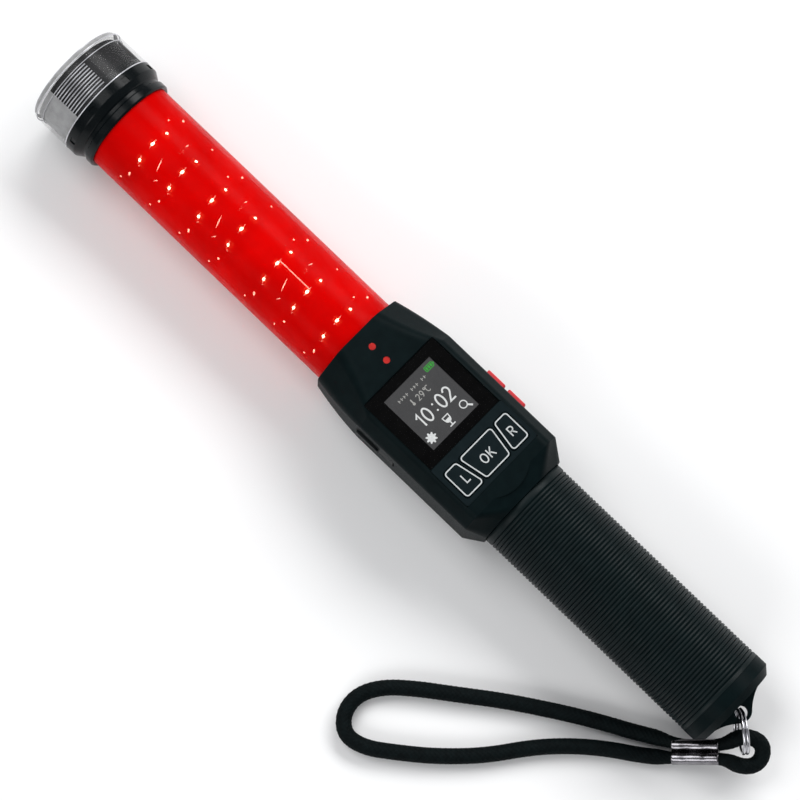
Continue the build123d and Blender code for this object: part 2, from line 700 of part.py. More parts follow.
# ---- End cap with its lug ----
PLUG_FRONT = SPRING_BACK - SPRING_WIRE - 0.2
LUG_BASE_HALF = 15.5
LUG_TIP_HALF = 3.7
with BuildPart() as end_cap:
    with BuildSketch(LENGTHWISE):
        with BuildLine():
            Polyline(
                (PLUG_FRONT, 0),
                (PLUG_FRONT, CORE_BORE - 0.15),
                (GRIP_END + 6.0, CORE_BORE - 0.15),
                (GRIP_END + 6.0, CORE_BORE - 1.4),
                (GRIP_END + 4.0, CORE_BORE - 1.4),
                (GRIP_END + 4.0, CORE_BORE - 0.15),
                (GRIP_END - 1.1, CORE_BORE - 0.15),
                (GRIP_END - 1.1, CORE_RADIUS + 0.1),
                (GRIP_END - 0.1, CORE_RADIUS + 0.1),
                (GRIP_END - 0.1, GRIP_RADIUS),
                (END_BAND, GRIP_RADIUS),
                (END_FACE, GRIP_RADIUS - 2.9),
                (END_FACE, 0),
                close=True,
            )
        make_face()
    revolve(axis=BATON_AXIS)
    with BuildSketch(across(PLUG_FRONT)):
        Circle(CORE_BORE - 2.6)
    extrude(amount=GRIP_END + 2.0 - PLUG_FRONT, mode=Mode.SUBTRACT)
    with BuildSketch(level(-LUG_THICKNESS / 2)):
        with BuildLine():
            flank = ThreePointArc(
                (END_FACE, LUG_BASE_HALF), (END_FACE - 2.5, 8.0), (LUG_X + 1.6, LUG_TIP_HALF)
            )
            other = ThreePointArc(
                (END_FACE, -LUG_BASE_HALF), (END_FACE - 2.5, -8.0), (LUG_X + 1.6, -LUG_TIP_HALF)
            )
            ThreePointArc(flank @ 1, (LUG_X, 0), other @ 1)
            Polyline(flank @ 0, (END_FACE + 2.0, LUG_BASE_HALF), (END_FACE + 2.0, -LUG_BASE_HALF), other @ 0)
        make_face()
    extrude(amount=LUG_THICKNESS)
    with BuildSketch(level(-LUG_THICKNESS / 2)):
        with Locations((LUG_HOLE_X, 0)):
            Circle(LUG_HOLE_RADIUS)
    extrude(amount=LUG_THICKNESS, mode=Mode.SUBTRACT)
save(end_cap, "end_cap")

end_cap_seal = ring(GRIP_END + 4.1, GRIP_END + 5.9, CORE_BORE - 0.05, CORE_BORE - 1.3)
save(end_cap_seal, "end_cap_seal")

# ---- Lanyard: split ring, crimp ferrule and cord ----
# The ring hangs in the lug's hole in an upright plane that points away from the grip at RING_HEADING.
RING_RADIUS, RING_WIRE, RING_PITCH, RING_TURNS = 8.8, 1.3, 1.42, 1.9
RING_REACH, RING_DROP = 7.2, 4.9  # from the hole to the ring's centre, along its heading and down
RING_HEADING = math.radians(139.9)
ring_along = Vector(math.cos(RING_HEADING), math.sin(RING_HEADING), 0)
ring_normal = Vector(math.sin(RING_HEADING), -math.cos(RING_HEADING), 0)
ring_centre = Vector(LUG_HOLE_X, 0, AXIS - RING_DROP) + ring_along * RING_REACH
# The wire starts 0.45 of a turn before the hole, so that its two coils pass through it side by side.
ring_start = math.pi - math.atan2(RING_DROP, RING_REACH) - 0.45 * math.tau
ring_plane = Plane(
    origin=ring_centre - ring_normal * (RING_PITCH * RING_TURNS / 2),
    x_dir=ring_along * math.cos(ring_start) + Vector(0, 0, math.sin(ring_start)),
    z_dir=ring_normal,
)
split_ring = coil(ring_plane, RING_PITCH, RING_TURNS, RING_RADIUS, RING_WIRE / 2)
save(split_ring, "split_ring")

# The cord's route, from inside the ferrule round the small eye that the ring holds, back through the
# ferrule, along the surface round the wrist loop, and into the ferrule again beside its own start.
CORD_Z = 3.5  # of a cord lying on the surface
FERRULE_LOOP_END, FERRULE_EYE_END = Vector(-176.9, 28.0, 4.6), Vector(-190.5, 15.3, 9.8)
LANYARD_EYE = [
    (-181.9, 18.9, 7.3),
    (-186.0, 14.9, 8.9),
    (-189.0, 10.4, 12.9),
    (-191.9, 5.7, 15.7),
    (-196.6, 2.2, 15.4),
    (-201.0, 2.2, 14.6),
    (-204.1, 5.6, 12.8),
    (-204.0, 10.1, 11.4),
    (-200.2, 13.9, 10.9),
    (-195.1, 16.4, 10.4),
    (-190.3, 20.2, 8.8),
    (-182.6, 27.3, 5.9),
]
WRIST_LOOP = [
    (-176.3, 31.2),
    (-168.3, 38.0),
    (-157.8, 44.8),
    (-146.5, 54.0),
    (-135.5, 65.5),
    (-124.0, 81.5),
    (-110.5, 96.5),
    (-98.0, 106.6),
    (-87.5, 113.6),
    (-77.6, 114.8),
    (-71.2, 108.6),
    (-70.3, 99.4),
    (-75.5, 90.2),
    (-85.5, 81.4),
    (-98.5, 71.2),
    (-113.5, 60.0),
    (-131.0, 48.6),
    (-147.0, 39.8),
    (-160.0, 33.0),
    (-168.8, 27.4),
]
LANYARD_RETURN = [(-177.6, 22.9, 5.6), (-181.5, 19.3, 7.1)]
route = [Vector(p) for p in LANYARD_EYE]
route += [Vector(x, y, CORD_Z) for x, y in WRIST_LOOP]
route += [Vector(p) for p in LANYARD_RETURN]


def corner_radius(before, corner, after):
    """The arc at one corner of the route: 0.45 of the shorter run over the tangent of half the turn."""
    turn = math.radians((corner - before).get_angle(after - corner))
    return 0.45 * min((corner - before).length, (after - corner).length) / math.tan(turn / 2)


radii = [corner_radius(*route[i : i + 3]) for i in range(len(route) - 2)]
print("cord radii", [round(r, 1) for r in radii])
with BuildPart() as lanyard_cord:
    with BuildLine():
        cord_path = FilletPolyline(*route, radius=radii)
    with BuildSketch(Plane(origin=cord_path @ 0, z_dir=cord_path % 0)):
        Circle(CORD_DIAMETER / 2)
    sweep(path=cord_path)
cord_volume = cord_path.length * math.pi * CORD_DIAMETER**2 / 4
print("cord length", round(cord_path.length, 1), "volume ratio", round(lanyard_cord.part.volume / cord_volume, 4))
save(lanyard_cord, "lanyard_cord")

ferrule_axis = (FERRULE_EYE_END - FERRULE_LOOP_END).normalized()
ferrule_plane = Plane(
    origin=FERRULE_LOOP_END, x_dir=Vector(-ferrule_axis.Y, ferrule_axis.X, 0), z_dir=ferrule_axis
)
LOBE_OFFSET, LOBE_WIDTH, LOBE_HEIGHT, FERRULE_WALL = 2.45, 2.75, 3.4, 0.5
with BuildPart() as crimp_ferrule:
    with BuildSketch(ferrule_plane):
        with Locations((-LOBE_OFFSET, 0), (LOBE_OFFSET, 0)):
            Ellipse(LOBE_WIDTH, LOBE_HEIGHT)
        with Locations((-LOBE_OFFSET, 0), (LOBE_OFFSET, 0)):
            Ellipse(LOBE_WIDTH - FERRULE_WALL, LOBE_HEIGHT - FERRULE_WALL, mode=Mode.SUBTRACT)
    extrude(amount=FERRULE_LENGTH)
save(crimp_ferrule, "crimp_ferrule")
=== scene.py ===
"""The looks of the traffic baton light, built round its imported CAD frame. Everything is in metres."""

import math

import bmesh
import bpy
from mathutils import Matrix, Vector


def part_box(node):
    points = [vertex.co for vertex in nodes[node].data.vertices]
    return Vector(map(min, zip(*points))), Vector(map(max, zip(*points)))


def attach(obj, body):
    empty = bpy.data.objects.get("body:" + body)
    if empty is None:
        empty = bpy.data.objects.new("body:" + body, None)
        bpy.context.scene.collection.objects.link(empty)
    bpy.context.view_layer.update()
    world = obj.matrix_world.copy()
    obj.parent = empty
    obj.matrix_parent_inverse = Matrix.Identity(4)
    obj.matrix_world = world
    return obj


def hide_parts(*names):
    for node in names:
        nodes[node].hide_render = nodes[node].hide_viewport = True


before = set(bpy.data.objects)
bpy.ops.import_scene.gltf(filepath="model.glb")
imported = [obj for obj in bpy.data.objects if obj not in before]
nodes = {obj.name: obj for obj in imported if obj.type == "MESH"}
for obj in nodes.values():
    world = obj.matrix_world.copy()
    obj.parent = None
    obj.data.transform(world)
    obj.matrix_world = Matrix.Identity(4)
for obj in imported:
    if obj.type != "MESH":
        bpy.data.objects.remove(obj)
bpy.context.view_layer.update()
scene = bpy.context.scene

MM = 0.001
tube_low, tube_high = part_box("light_tube")
AXIS_Z = (tube_low.z + tube_high.z) / 2
TUBE_RADIUS = (tube_high.z - tube_low.z) / 2


# ---- Mesh helpers ----
def add_piece(name, mesh, material, body, slot, *replaced):
    """Turns a bmesh or mesh into a piece of the model that rides on a CAD body."""
    if isinstance(mesh, bmesh.types.BMesh):
        bmesh.ops.recalc_face_normals(mesh, faces=mesh.faces)
        data = bpy.data.meshes.new(name)
        mesh.to_mesh(data)
        mesh.free()
    else:
        data = mesh
    data.materials.clear()
    data.materials.append(material)
    piece = bpy.data.objects.new(name, data)
    scene.collection.objects.link(piece)
    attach(piece, body)
    if replaced:
        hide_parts(*replaced)
    return piece


def smooth(piece, angle=40):
    """Shades a piece smooth, with its edges sharper than angle kept crisp."""
    bm = bmesh.new()
    bm.from_mesh(piece.data)
    for face in bm.faces:
        face.smooth = True
    for edge in bm.edges:
        if len(edge.link_faces) == 2:
            edge.smooth = edge.calc_face_angle(0) < math.radians(angle)
    bm.to_mesh(piece.data)
    bm.free()
    return piece


def around(x, radius, angle):
    """The point at x on a circle round the baton's axis; angle runs from +Z towards +Y."""
    return Vector((x, radius * math.sin(angle), AXIS_Z + radius * math.cos(angle)))


def lathe(profile, segments=128, start=0.0, sweep=math.tau, closed=True):
    """A body turned round the baton's axis from a profile of (x, radius), all the way or over an arc."""
    bm = bmesh.new()
    whole = sweep >= math.tau - 1e-6
    steps = segments if whole else segments + 1
    rings = []
    for i in range(steps):
        angle = start + sweep * i / segments
        rings.append([bm.verts.new(around(x, r, angle)) for x, r in profile])
    count = len(profile)
    spans = count if closed else count - 1
    for i in range(segments):
        here, there = rings[i], rings[(i + 1) % steps]
        for j in range(spans):
            k = (j + 1) % count
            bm.faces.new((here[j], here[k], there[k], there[j]))
    if closed and not whole:
        bm.faces.new(rings[0])
        bm.faces.new(list(reversed(rings[-1])))
    return bm


def carry_frames(points, closed=False):
    """Tangent, normal and side vector at each point of a path, turned as little as possible on the way."""
    count = len(points)
    frames = []
    normal = None
    for i in range(count):
        before = points[(i - 1) % count] if closed or i > 0 else points[i]
        after = points[(i + 1) % count] if closed or i < count - 1 else points[i]
        tangent = (after - before).normalized()
        if normal is None:
            normal = tangent.orthogonal().normalized()
        normal = (normal - tangent * normal.dot(tangent)).normalized()
        frames.append((tangent, normal, tangent.cross(normal)))
    return frames


def tube_mesh(points, section, sides, capped=True):
    """A tube along points. section(i, angle) gives the offset along the normal and the side vector."""
    bm = bmesh.new()
    rings = []
    for i, (point, (_, normal, side)) in enumerate(zip(points, carry_frames(points))):
        ring = []
        for k in range(sides):
            across, up = section(i, math.tau * k / sides)
            ring.append(bm.verts.new(point + normal * across + side * up))
        rings.append(ring)
    for here, there in zip(rings, rings[1:]):
        for k in range(sides):
            m = (k + 1) % sides
            bm.faces.new((here[k], here[m], there[m], there[k]))
    if capped:
        bm.faces.new(list(reversed(rings[0])))
        bm.faces.new(rings[-1])
    return bm


def rod(points, radius, sides=8):
    """A plain round rod along points that tapers to its ends where radius is a function of 0 to 1."""
    size = radius if callable(radius) else (lambda t: radius)

    def section(i, angle):
        r = size(i / (len(points) - 1))
        return r * math.cos(angle), r * math.sin(angle)

    return tube_mesh(points, section, sides)


def merge(target, source, matrix=None):
    """Adds the source bmesh to the target, moved by matrix, and frees it."""
    if matrix is not None:
        source.transform(matrix)
    data = bpy.data.meshes.new("scratch")
    source.to_mesh(data)
    source.free()
    target.from_mesh(data)
    bpy.data.meshes.remove(data)


# ---- Flat drawing: strokes and shapes on a level face ----
def arc(x, y, rx, ry, start, end, steps=12):
    """Points of an elliptical arc, with its angles in degrees."""
    angles = [math.radians(start + (end - start) * i / steps) for i in range(steps + 1)]
    return [(x + rx * math.cos(a), y + ry * math.sin(a)) for a in angles]


def stroke(bm, path, width, closed, low, high):
    """A ribbon of even width along a flat path, from height low to height high."""
    count = len(path)
    rows = []
    for i, (x, y) in enumerate(path):
        here = Vector((x, y))
        before = Vector(path[(i - 1) % count]) if closed or i else None
        after = Vector(path[(i + 1) % count]) if closed or i < count - 1 else None
        pairs = ((before, here), (here, after))
        runs = [(b - a).normalized() for a, b in pairs if a is not None and b is not None]
        along = sum(runs, Vector((0, 0))).normalized()
        normal = Vector((-along.y, along.x))
        first = Vector((-runs[0].y, runs[0].x))
        half = min(width / 2 / max(normal.dot(first), 0.35), width)
        row = []
        for side, z in ((-1, low), (1, low), (1, high), (-1, high)):
            p = here + normal * half * side
            row.append(bm.verts.new((p.x, p.y, z)))
        rows.append(row)
    for i in range(count if closed else count - 1):
        here, there = rows[i], rows[(i + 1) % count]
        for j in range(4):
            k = (j + 1) % 4
            bm.faces.new((here[j], here[k], there[k], there[j]))
    if not closed:
        bm.faces.new(rows[0])
        bm.faces.new(list(reversed(rows[-1])))


def plate(bm, outline, low, high):
    """A flat plate with the given outline."""
    bottom = [bm.verts.new((x, y, low)) for x, y in outline]
    top = [bm.verts.new((x, y, high)) for x, y in outline]
    bm.faces.new(list(reversed(bottom)))
    bm.faces.new(top)
    for i in range(len(outline)):
        k = (i + 1) % len(outline)
        bm.faces.new((bottom[i], bottom[k], top[k], top[i]))


def rounded(corners, radius, inset):
    """A polygon's outline moved inwards by inset, with round corners."""
    count = len(corners)
    points = [Vector(c) for c in corners]
    pairs = [(points[i], points[(i + 1) % count]) for i in range(count)]
    area = sum(a.x * b.y - b.x * a.y for a, b in pairs)
    turn = 1 if area > 0 else -1
    lines = []
    for i in range(count):
        along = (points[(i + 1) % count] - points[i]).normalized()
        normal = Vector((-along.y, along.x)) * turn
        lines.append((points[i] + normal * inset, along))
    outline = []
    for i in range(count):
        (p, a), (q, b) = lines[i - 1], lines[i]
        cross = a.x * b.y - a.y * b.x
        t = ((q.x - p.x) * b.y - (q.y - p.y) * b.x) / cross
        corner = p + a * t
        half = a.angle(b) / 2
        reach = radius * math.tan(half)
        centre = corner - a * reach + Vector((-a.y, a.x)) * turn * radius
        start = corner - a * reach - centre
        for k in range(7):
            swing = 2 * half * k / 6 * turn
            c, s = math.cos(swing), math.sin(swing)
            outline.append((centre.x + start.x * c - start.y * s, centre.y + start.x * s + start.y * c))
    return outline


# Letters and digits as strokes in a box 0.6 wide and 1 high.
GLYPHS = {
    "0": [(arc(0.3, 0.5, 0.26, 0.46, 90, 435, 23), True)],
    "1": [([(0.12, 0.74), (0.36, 0.96), (0.36, 0.04)], False)],
    "2": [(arc(0.3, 0.7, 0.24, 0.26, 165, -35) + [(0.06, 0.04), (0.55, 0.04)], False)],
    "9": [(arc(0.3, 0.67, 0.24, 0.29, 0, 345, 23), True), (arc(0.1, 0.66, 0.44, 0.62, 0, -80, 8), False)],
    "C": [(arc(0.34, 0.5, 0.28, 0.46, 50, 310, 16), False)],
    "o": [(arc(0.2, 0.82, 0.12, 0.14, 90, 435, 15), True)],
    "O": [(arc(0.3, 0.5, 0.27, 0.46, 90, 435, 23), True)],
    "K": [
        ([(0.08, 0.99), (0.08, 0.01)], False),
        ([(0.52, 0.98), (0.12, 0.42)], False),
        ([(0.24, 0.58), (0.56, 0.01)], False),
    ],
    "L": [([(0.1, 0.99), (0.1, 0.05), (0.5, 0.05)], False)],
    "R": [
        (
            [(0.08, 0.01), (0.08, 0.95), (0.3, 0.95)] + arc(0.3, 0.71, 0.21, 0.24, 80, -90, 8) + [(0.1, 0.47)],
            False,
        ),
        ([(0.28, 0.47), (0.53, 0.01)], False),
    ],
}


def draw_glyph(bm, glyph, corner, height, width, weight, low, high):
    """Draws a glyph that reads along -Y with its top towards +X. corner is its lower left corner."""
    for path, closed in GLYPHS[glyph]:
        placed = [(corner[0] + v * height, corner[1] - u / 0.6 * width) for u, v in path]
        stroke(bm, placed, weight, closed, low, high)


# ---- Materials ----
def coordinates(tree, scale=(1, 1, 1)):
    """The piece's own coordinates in millimetres, stretched by scale."""
    source = tree.nodes.new("ShaderNodeTexCoord")
    mapping = tree.nodes.new("ShaderNodeMapping")
    mapping.inputs["Scale"].default_value = [s / MM for s in scale]
    tree.links.new(source.outputs["Object"], mapping.inputs["Vector"])
    return mapping.outputs["Vector"]


def noise(tree, scale, detail=4.0, stretch=(1, 1, 1), roughness=0.55):
    """Noise with about scale cells to the millimetre."""
    node = tree.nodes.new("ShaderNodeTexNoise")
    node.inputs["Scale"].default_value = scale
    node.inputs["Detail"].default_value = detail
    node.inputs["Roughness"].default_value = roughness
    tree.links.new(coordinates(tree, stretch), node.inputs["Vector"])
    return node.outputs["Fac"]


def remap(tree, value, low, high, start=0.3, end=0.7):
    """A value from start to end stretched over low to high."""
    node = tree.nodes.new("ShaderNodeMapRange")
    node.inputs["From Min"].default_value = start
    node.inputs["From Max"].default_value = end
    node.inputs["To Min"].default_value = low
    node.inputs["To Max"].default_value = high
    tree.links.new(value, node.inputs["Value"])
    return node.outputs["Result"]


def blend_colours(tree, factor, first, second):
    """A colour between two colours, or between a colour and another socket."""
    node = tree.nodes.new("ShaderNodeMix")
    node.data_type = "RGBA"
    tree.links.new(factor, node.inputs["Factor"])
    for socket, colour in ((node.inputs["A"], first), (node.inputs["B"], second)):
        if isinstance(colour, bpy.types.NodeSocket):
            tree.links.new(colour, socket)
        else:
            socket.default_value = (*colour, 1)
    return node.outputs["Result"]


def surface(
    name,
    colour,
    second=None,
    roughness=(0.35, 0.5),
    grain=3.0,
    bump=0.02,
    bump_scale=4.0,
    stretch=(1, 1, 1),
    **values,
):
    """A material whose colour drifts between two tones, with grain in its roughness and its bump (in mm)."""
    material = bpy.data.materials.new(name)
    material.use_nodes = True
    tree = material.node_tree
    shader = tree.nodes["Principled BSDF"]
    for key, value in values.items():
        shader.inputs[key.replace("_", " ")].default_value = value
    second = second or tuple(min(1.0, c * 1.35 + 0.001) for c in colour)
    drift = remap(tree, noise(tree, grain / 12, 3), 0, 1)
    tree.links.new(blend_colours(tree, drift, colour, second), shader.inputs["Base Color"])
    tree.links.new(remap(tree, noise(tree, grain, 5, stretch), *roughness), shader.inputs["Roughness"])
    if bump:
        node = tree.nodes.new("ShaderNodeBump")
        node.inputs["Strength"].default_value = 1.0
        node.inputs["Distance"].default_value = bump * MM
        tree.links.new(noise(tree, bump_scale, 4, stretch), node.inputs["Height"])
        tree.links.new(node.outputs["Normal"], shader.inputs["Normal"])
    return material


def light_material(name, colour, strength):
    """A lit material with a faint mottle in its colour."""
    darker = tuple(c * 0.8 for c in colour)
    material = surface(name, (0.01, 0.01, 0.01), roughness=(0.4, 0.5), bump=0)
    tree = material.node_tree
    shader = tree.nodes["Principled BSDF"]
    factor = remap(tree, noise(tree, 1.5), 0, 1)
    tree.links.new(blend_colours(tree, factor, darker, colour), shader.inputs["Emission Color"])
    shader.inputs["Emission Strength"].default_value = strength
    return material


HOUSING = surface(
    "housing_plastic",
    (0.0017, 0.0048, 0.0055),
    (0.0026, 0.0068, 0.0076),
    roughness=(0.38, 0.52),
    grain=2.5,
    bump=0.02,
    bump_scale=5.0,
    Specular_IOR_Level=0.035,
)
COLLAR = surface(
    "collar_plastic",
    (0.0012, 0.0024, 0.003),
    roughness=(0.16, 0.28),
    grain=1.2,
    bump=0.006,
    bump_scale=1.0,
    Specular_IOR_Level=0.12,
)
GRIP = surface(
    "grip_rubber",
    (0.0022, 0.0062, 0.0068),
    (0.0036, 0.009, 0.0098),
    roughness=(0.36, 0.5),
    grain=2.2,
    bump=0.03,
    bump_scale=4.0,
    Specular_IOR_Level=0.12,
)
RUBBER = surface(
    "port_rubber",
    (0.0012, 0.0026, 0.0031),
    roughness=(0.45, 0.6),
    grain=2.0,
    bump=0.03,
    bump_scale=4.0,
    Specular_IOR_Level=0.12,
)
SEAL = surface("seal_rubber", (0.006, 0.006, 0.006), roughness=(0.5, 0.7))
BUTTON = surface("red_silicone", (0.55, 0.012, 0.02), (0.68, 0.03, 0.04), roughness=(0.35, 0.5), bump=0.02)
INDICATOR = surface(
    "indicator_lens",
    (0.3, 0.006, 0.005),
    (0.5, 0.02, 0.015),
    roughness=(0.12, 0.25),
    Emission_Color=(0.9, 0.02, 0.01, 1),
    Emission_Strength=0.03,
)
KEYPAD = surface(
    "keypad_film",
    (0.0026, 0.007, 0.0086),
    (0.0042, 0.0096, 0.0115),
    roughness=(0.38, 0.52),
    grain=3.5,
    bump=0.02,
    bump_scale=2.6,
    Specular_IOR_Level=0.07,
)
PRINT = surface(
    "white_print", (0.42, 0.44, 0.44), (0.56, 0.58, 0.58), roughness=(0.4, 0.55), grain=4, bump=0.004
)
BLACK_PRINT = surface(
    "mask_print", (0.0004, 0.0004, 0.0005), roughness=(0.3, 0.4), bump=0.002, Specular_IOR_Level=0.05
)
BOARD = surface("solder_mask", (0.012, 0.09, 0.04), (0.02, 0.13, 0.06), roughness=(0.25, 0.4), bump=0.01)
COMPONENT = surface("component", (0.02, 0.02, 0.021), roughness=(0.4, 0.55))
CORE = surface("core_plastic", (0.02, 0.021, 0.023), roughness=(0.4, 0.55))
CONTACT = surface(
    "contact_metal",
    (0.6, 0.56, 0.45),
    (0.7, 0.66, 0.55),
    roughness=(0.22, 0.4),
    stretch=(1, 6, 6),
    Metallic=1.0,
)
SCREW = surface("screw_steel", (0.32, 0.32, 0.33), (0.42, 0.42, 0.43), roughness=(0.25, 0.45), Metallic=1.0)
BATTERY = surface("battery_film", (0.03, 0.12, 0.4), (0.04, 0.16, 0.5), roughness=(0.2, 0.35), bump=0.01)
CHROME = surface(
    "ring_chrome",
    (0.42, 0.42, 0.45),
    (0.62, 0.62, 0.65),
    roughness=(0.08, 0.2),
    grain=2.0,
    bump=0.004,
    Metallic=1.0,
)
FERRULE = surface(
    "ferrule_chrome",
    (0.13, 0.125, 0.135),
    (0.3, 0.29, 0.31),
    roughness=(0.12, 0.32),
    grain=2.2,
    bump=0.03,
    bump_scale=1.4,
    Metallic=1.0,
)
# Inside the tube everything is painted red with a faint red glow: painted lamplight that stands in for the red
# light of the lamps.
SPINE_PAINTED_LAMPLIGHT = surface(
    "spine_painted_lamplight",
    (0.5, 0.002, 0.001),
    (0.62, 0.004, 0.002),
    roughness=(0.3, 0.45),
    Emission_Color=(0.7, 0.0, 0.0, 1),
    Emission_Strength=0.35,
)
STRIP_PAINTED_LAMPLIGHT = surface(
    "strip_painted_lamplight",
    (0.3, 0.002, 0.001),
    (0.42, 0.003, 0.002),
    roughness=(0.25, 0.4),
    Emission_Color=(0.5, 0.0, 0.0, 1),
    Emission_Strength=0.25,
)
LAMP_BODY = surface(
    "lamp_package",
    (0.8, 0.1, 0.06),
    (0.9, 0.16, 0.1),
    roughness=(0.2, 0.35),
    Emission_Color=(1.0, 0.12, 0.05, 1),
    Emission_Strength=1.2,
)
LAMP = light_material("lamp_light", (1.0, 0.78, 0.5), 62.0)
# painted glints: glowing beads that stand in for reflections of the lamps on the tube's wall
GLINT = light_material("lamp_glint", (1.0, 0.45, 0.32), 29.0)
# painted glare and reflections: this glowing material marks the lamps' flares, reflection streaks and a
# highlight line
PAINTED_STREAK = light_material("painted_lamp_streak", (1.0, 0.5, 0.38), 25.0)

# the tube's faint red glow is painted light that stands in for the lamps shining through its wall
TUBE = surface(
    "red_tube",
    (0.5, 0.0004, 0.0003),
    (0.66, 0.0006, 0.0004),
    roughness=(0.22, 0.34),
    grain=0.5,
    bump=0.01,
    bump_scale=0.25,
    stretch=(0.2, 1, 1),
    Alpha=0.75,
    Specular_IOR_Level=0.02,
    Emission_Color=(0.85, 0.0, 0.0, 1),
    Emission_Strength=0.06,
)
for slot_nodes, slot_material in {
    ("tip_collar",): COLLAR,
    ("collar_seal", "tube_seal", "end_cap_seal"): SEAL,
    ("light_tube",): TUBE,
    ("led_spine",): SPINE_PAINTED_LAMPLIGHT,
    ("led_boards",): STRIP_PAINTED_LAMPLIGHT,
    ("tube_leds", "tip_leds"): LAMP_BODY,
    ("front_shell", "rear_shell", "end_cap"): HOUSING,
    ("housing_screws",): SCREW,
    ("keypad_panel", "key_left", "key_ok", "key_right"): KEYPAD,
    ("main_board", "side_board", "tip_board"): BOARD,
    ("dome_switches", "breath_sensor", "charge_socket", "contact_plate", "contact_spring"): CONTACT,
    ("indicator_lenses",): INDICATOR,
    ("buzzer", "side_switches"): COMPONENT,
    ("side_button_front", "side_button_rear"): BUTTON,
    ("port_cover",): RUBBER,
    ("handle_core", "battery_holder"): CORE,
    ("battery_cell",): BATTERY,
    ("split_ring",): CHROME,
    ("display_module",): BLACK_PRINT,
}.items():
    for node_name in slot_nodes:
        data = nodes[node_name].data
        data.materials.clear()
        data.materials.append(slot_material)


def soften(node_name, width):
    """Rounds a CAD node's crisp edges a little, as a mould does."""
    modifier = nodes[node_name].modifiers.new("soft_edges", "BEVEL")
    modifier.width = width * MM
    modifier.segments = 2
    modifier.limit_method = "ANGLE"
    modifier.angle_limit = math.radians(35)
    modifier.harden_normals = False


for node_name, width in (("front_shell", 0.3), ("rear_shell", 0.3), ("port_cover", 0.2), ("end_cap", 0.25)):
    soften(node_name, width)


# ---- Tip: clear ribbed cap over a smoky insert ----
cap_low, cap_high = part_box("lens_cap")
CAP_RADIUS = (cap_high.z - cap_low.z) / 2
CAP_BACK, CAP_FRONT = cap_low.x, cap_high.x

CAP_GLASS = surface(
    "cap_glass",
    (0.07, 0.07, 0.072),
    (0.1, 0.1, 0.102),
    roughness=(0.1, 0.18),
    grain=1.0,
    bump=0,
    Alpha=0.14,
    Specular_IOR_Level=0.3,
)
SMOKY = surface(
    "smoky_insert",
    (0.005, 0.005, 0.0052),
    (0.014, 0.014, 0.015),
    roughness=(0.5, 0.62),
    grain=1.6,
    bump=0,
    Specular_IOR_Level=0.05,
)
FROSTED = surface(
    "frosted_insert", (0.3, 0.3, 0.3), (0.42, 0.42, 0.425), roughness=(0.4, 0.6), grain=3.0, bump=0.05
)
BRIGHT_RIB = surface(
    "bright_rib", (0.45, 0.45, 0.48), (0.75, 0.75, 0.78), roughness=(0.15, 0.3), grain=2.0, Metallic=0.4
)

SHELL_WALL = 1.8 * MM
FRONT_WALL = 2 * MM
EDGE = 2.4 * MM
EDGE_STEPS = 6
AXIS_GAP = 0.0002  # the front wall's profile stops this near the axis
outer_edge = []
for i in range(EDGE_STEPS + 1):
    a = math.pi / 2 * i / EDGE_STEPS
    outer_edge.append((CAP_FRONT - EDGE + EDGE * math.sin(a), CAP_RADIUS - EDGE + EDGE * math.cos(a)))
inner = CAP_RADIUS - SHELL_WALL
cap_profile = (
    [(CAP_BACK, inner), (CAP_BACK, CAP_RADIUS)]
    + outer_edge
    + [(CAP_FRONT, AXIS_GAP), (CAP_FRONT - FRONT_WALL, AXIS_GAP), (CAP_FRONT - FRONT_WALL, inner)]
)
cap = add_piece("cap_shell", lathe(cap_profile, 160), CAP_GLASS, "baton", "clear_lens", "lens_cap")
smooth(cap, 35)

# The insert has two like halves: ribbed, frosted and plain smoky.
INSERT_RADIUS = inner - 1.1 * MM
INSERT_BACK, INSERT_FRONT = CAP_BACK + 4.1 * MM, CAP_FRONT - 2.15 * MM
insert_profile = [
    (INSERT_BACK, INSERT_RADIUS),
    (CAP_FRONT - 2.7 * MM, INSERT_RADIUS),
    (INSERT_FRONT, INSERT_RADIUS - 0.6 * MM),
    (INSERT_FRONT, 0.0003),
    (CAP_FRONT - 3.3 * MM, 0.0003),
    (INSERT_BACK, 8 * MM),
]
insert = add_piece(
    "tip_insert", lathe(insert_profile, 120), SMOKY, "baton", "reflector_black", "tip_reflector"
)
smooth(insert, 35)

RIBBED, FROST = math.radians(47), math.radians(58)
RIBBED_START = math.radians(-6)
RIB_COUNT, RIB_PITCH, RIB_RADIUS, RIB_ARC_STEPS = 9, 1.35 * MM, 0.28 * MM, 24
ribs, frost = bmesh.new(), bmesh.new()
for half in range(2):
    ribbed = RIBBED_START + half * math.pi
    for i in range(RIB_COUNT):
        rib_x = CAP_BACK + 2.5 * MM + i * RIB_PITCH
        turns = [ribbed + RIBBED * k / RIB_ARC_STEPS for k in range(RIB_ARC_STEPS + 1)]
        arc_points = [around(rib_x, inner + 0.4 * MM, turn) for turn in turns]
        merge(ribs, rod(arc_points, RIB_RADIUS, 8))
    patch = [
        (CAP_BACK + 0.5 * MM, inner + 0.45 * MM),
        (CAP_FRONT - 2.9 * MM, inner + 0.45 * MM),
        (CAP_FRONT - 2.9 * MM, inner + 0.15 * MM),
        (CAP_BACK + 0.5 * MM, inner + 0.15 * MM),
    ]
    merge(frost, lathe(patch, 24, ribbed + RIBBED, FROST))
smooth(add_piece("cap_ribs", ribs, BRIGHT_RIB, "baton", "clear_lens"), 60)
smooth(add_piece("cap_frosting", frost, FROSTED, "baton", "clear_lens"), 60)
# a pale rim inside the shell's front edge
rim_profile = [
    (CAP_FRONT - 2.0 * MM, inner + 1.1 * MM),
    (CAP_FRONT - 0.5 * MM, inner + 0.7 * MM),
    (CAP_FRONT - 0.5 * MM, inner + 0.5 * MM),
    (CAP_FRONT - 2.0 * MM, inner + 0.8 * MM),
]
smooth(add_piece("cap_rim", lathe(rim_profile, 120), FROSTED, "baton", "clear_lens"), 60)

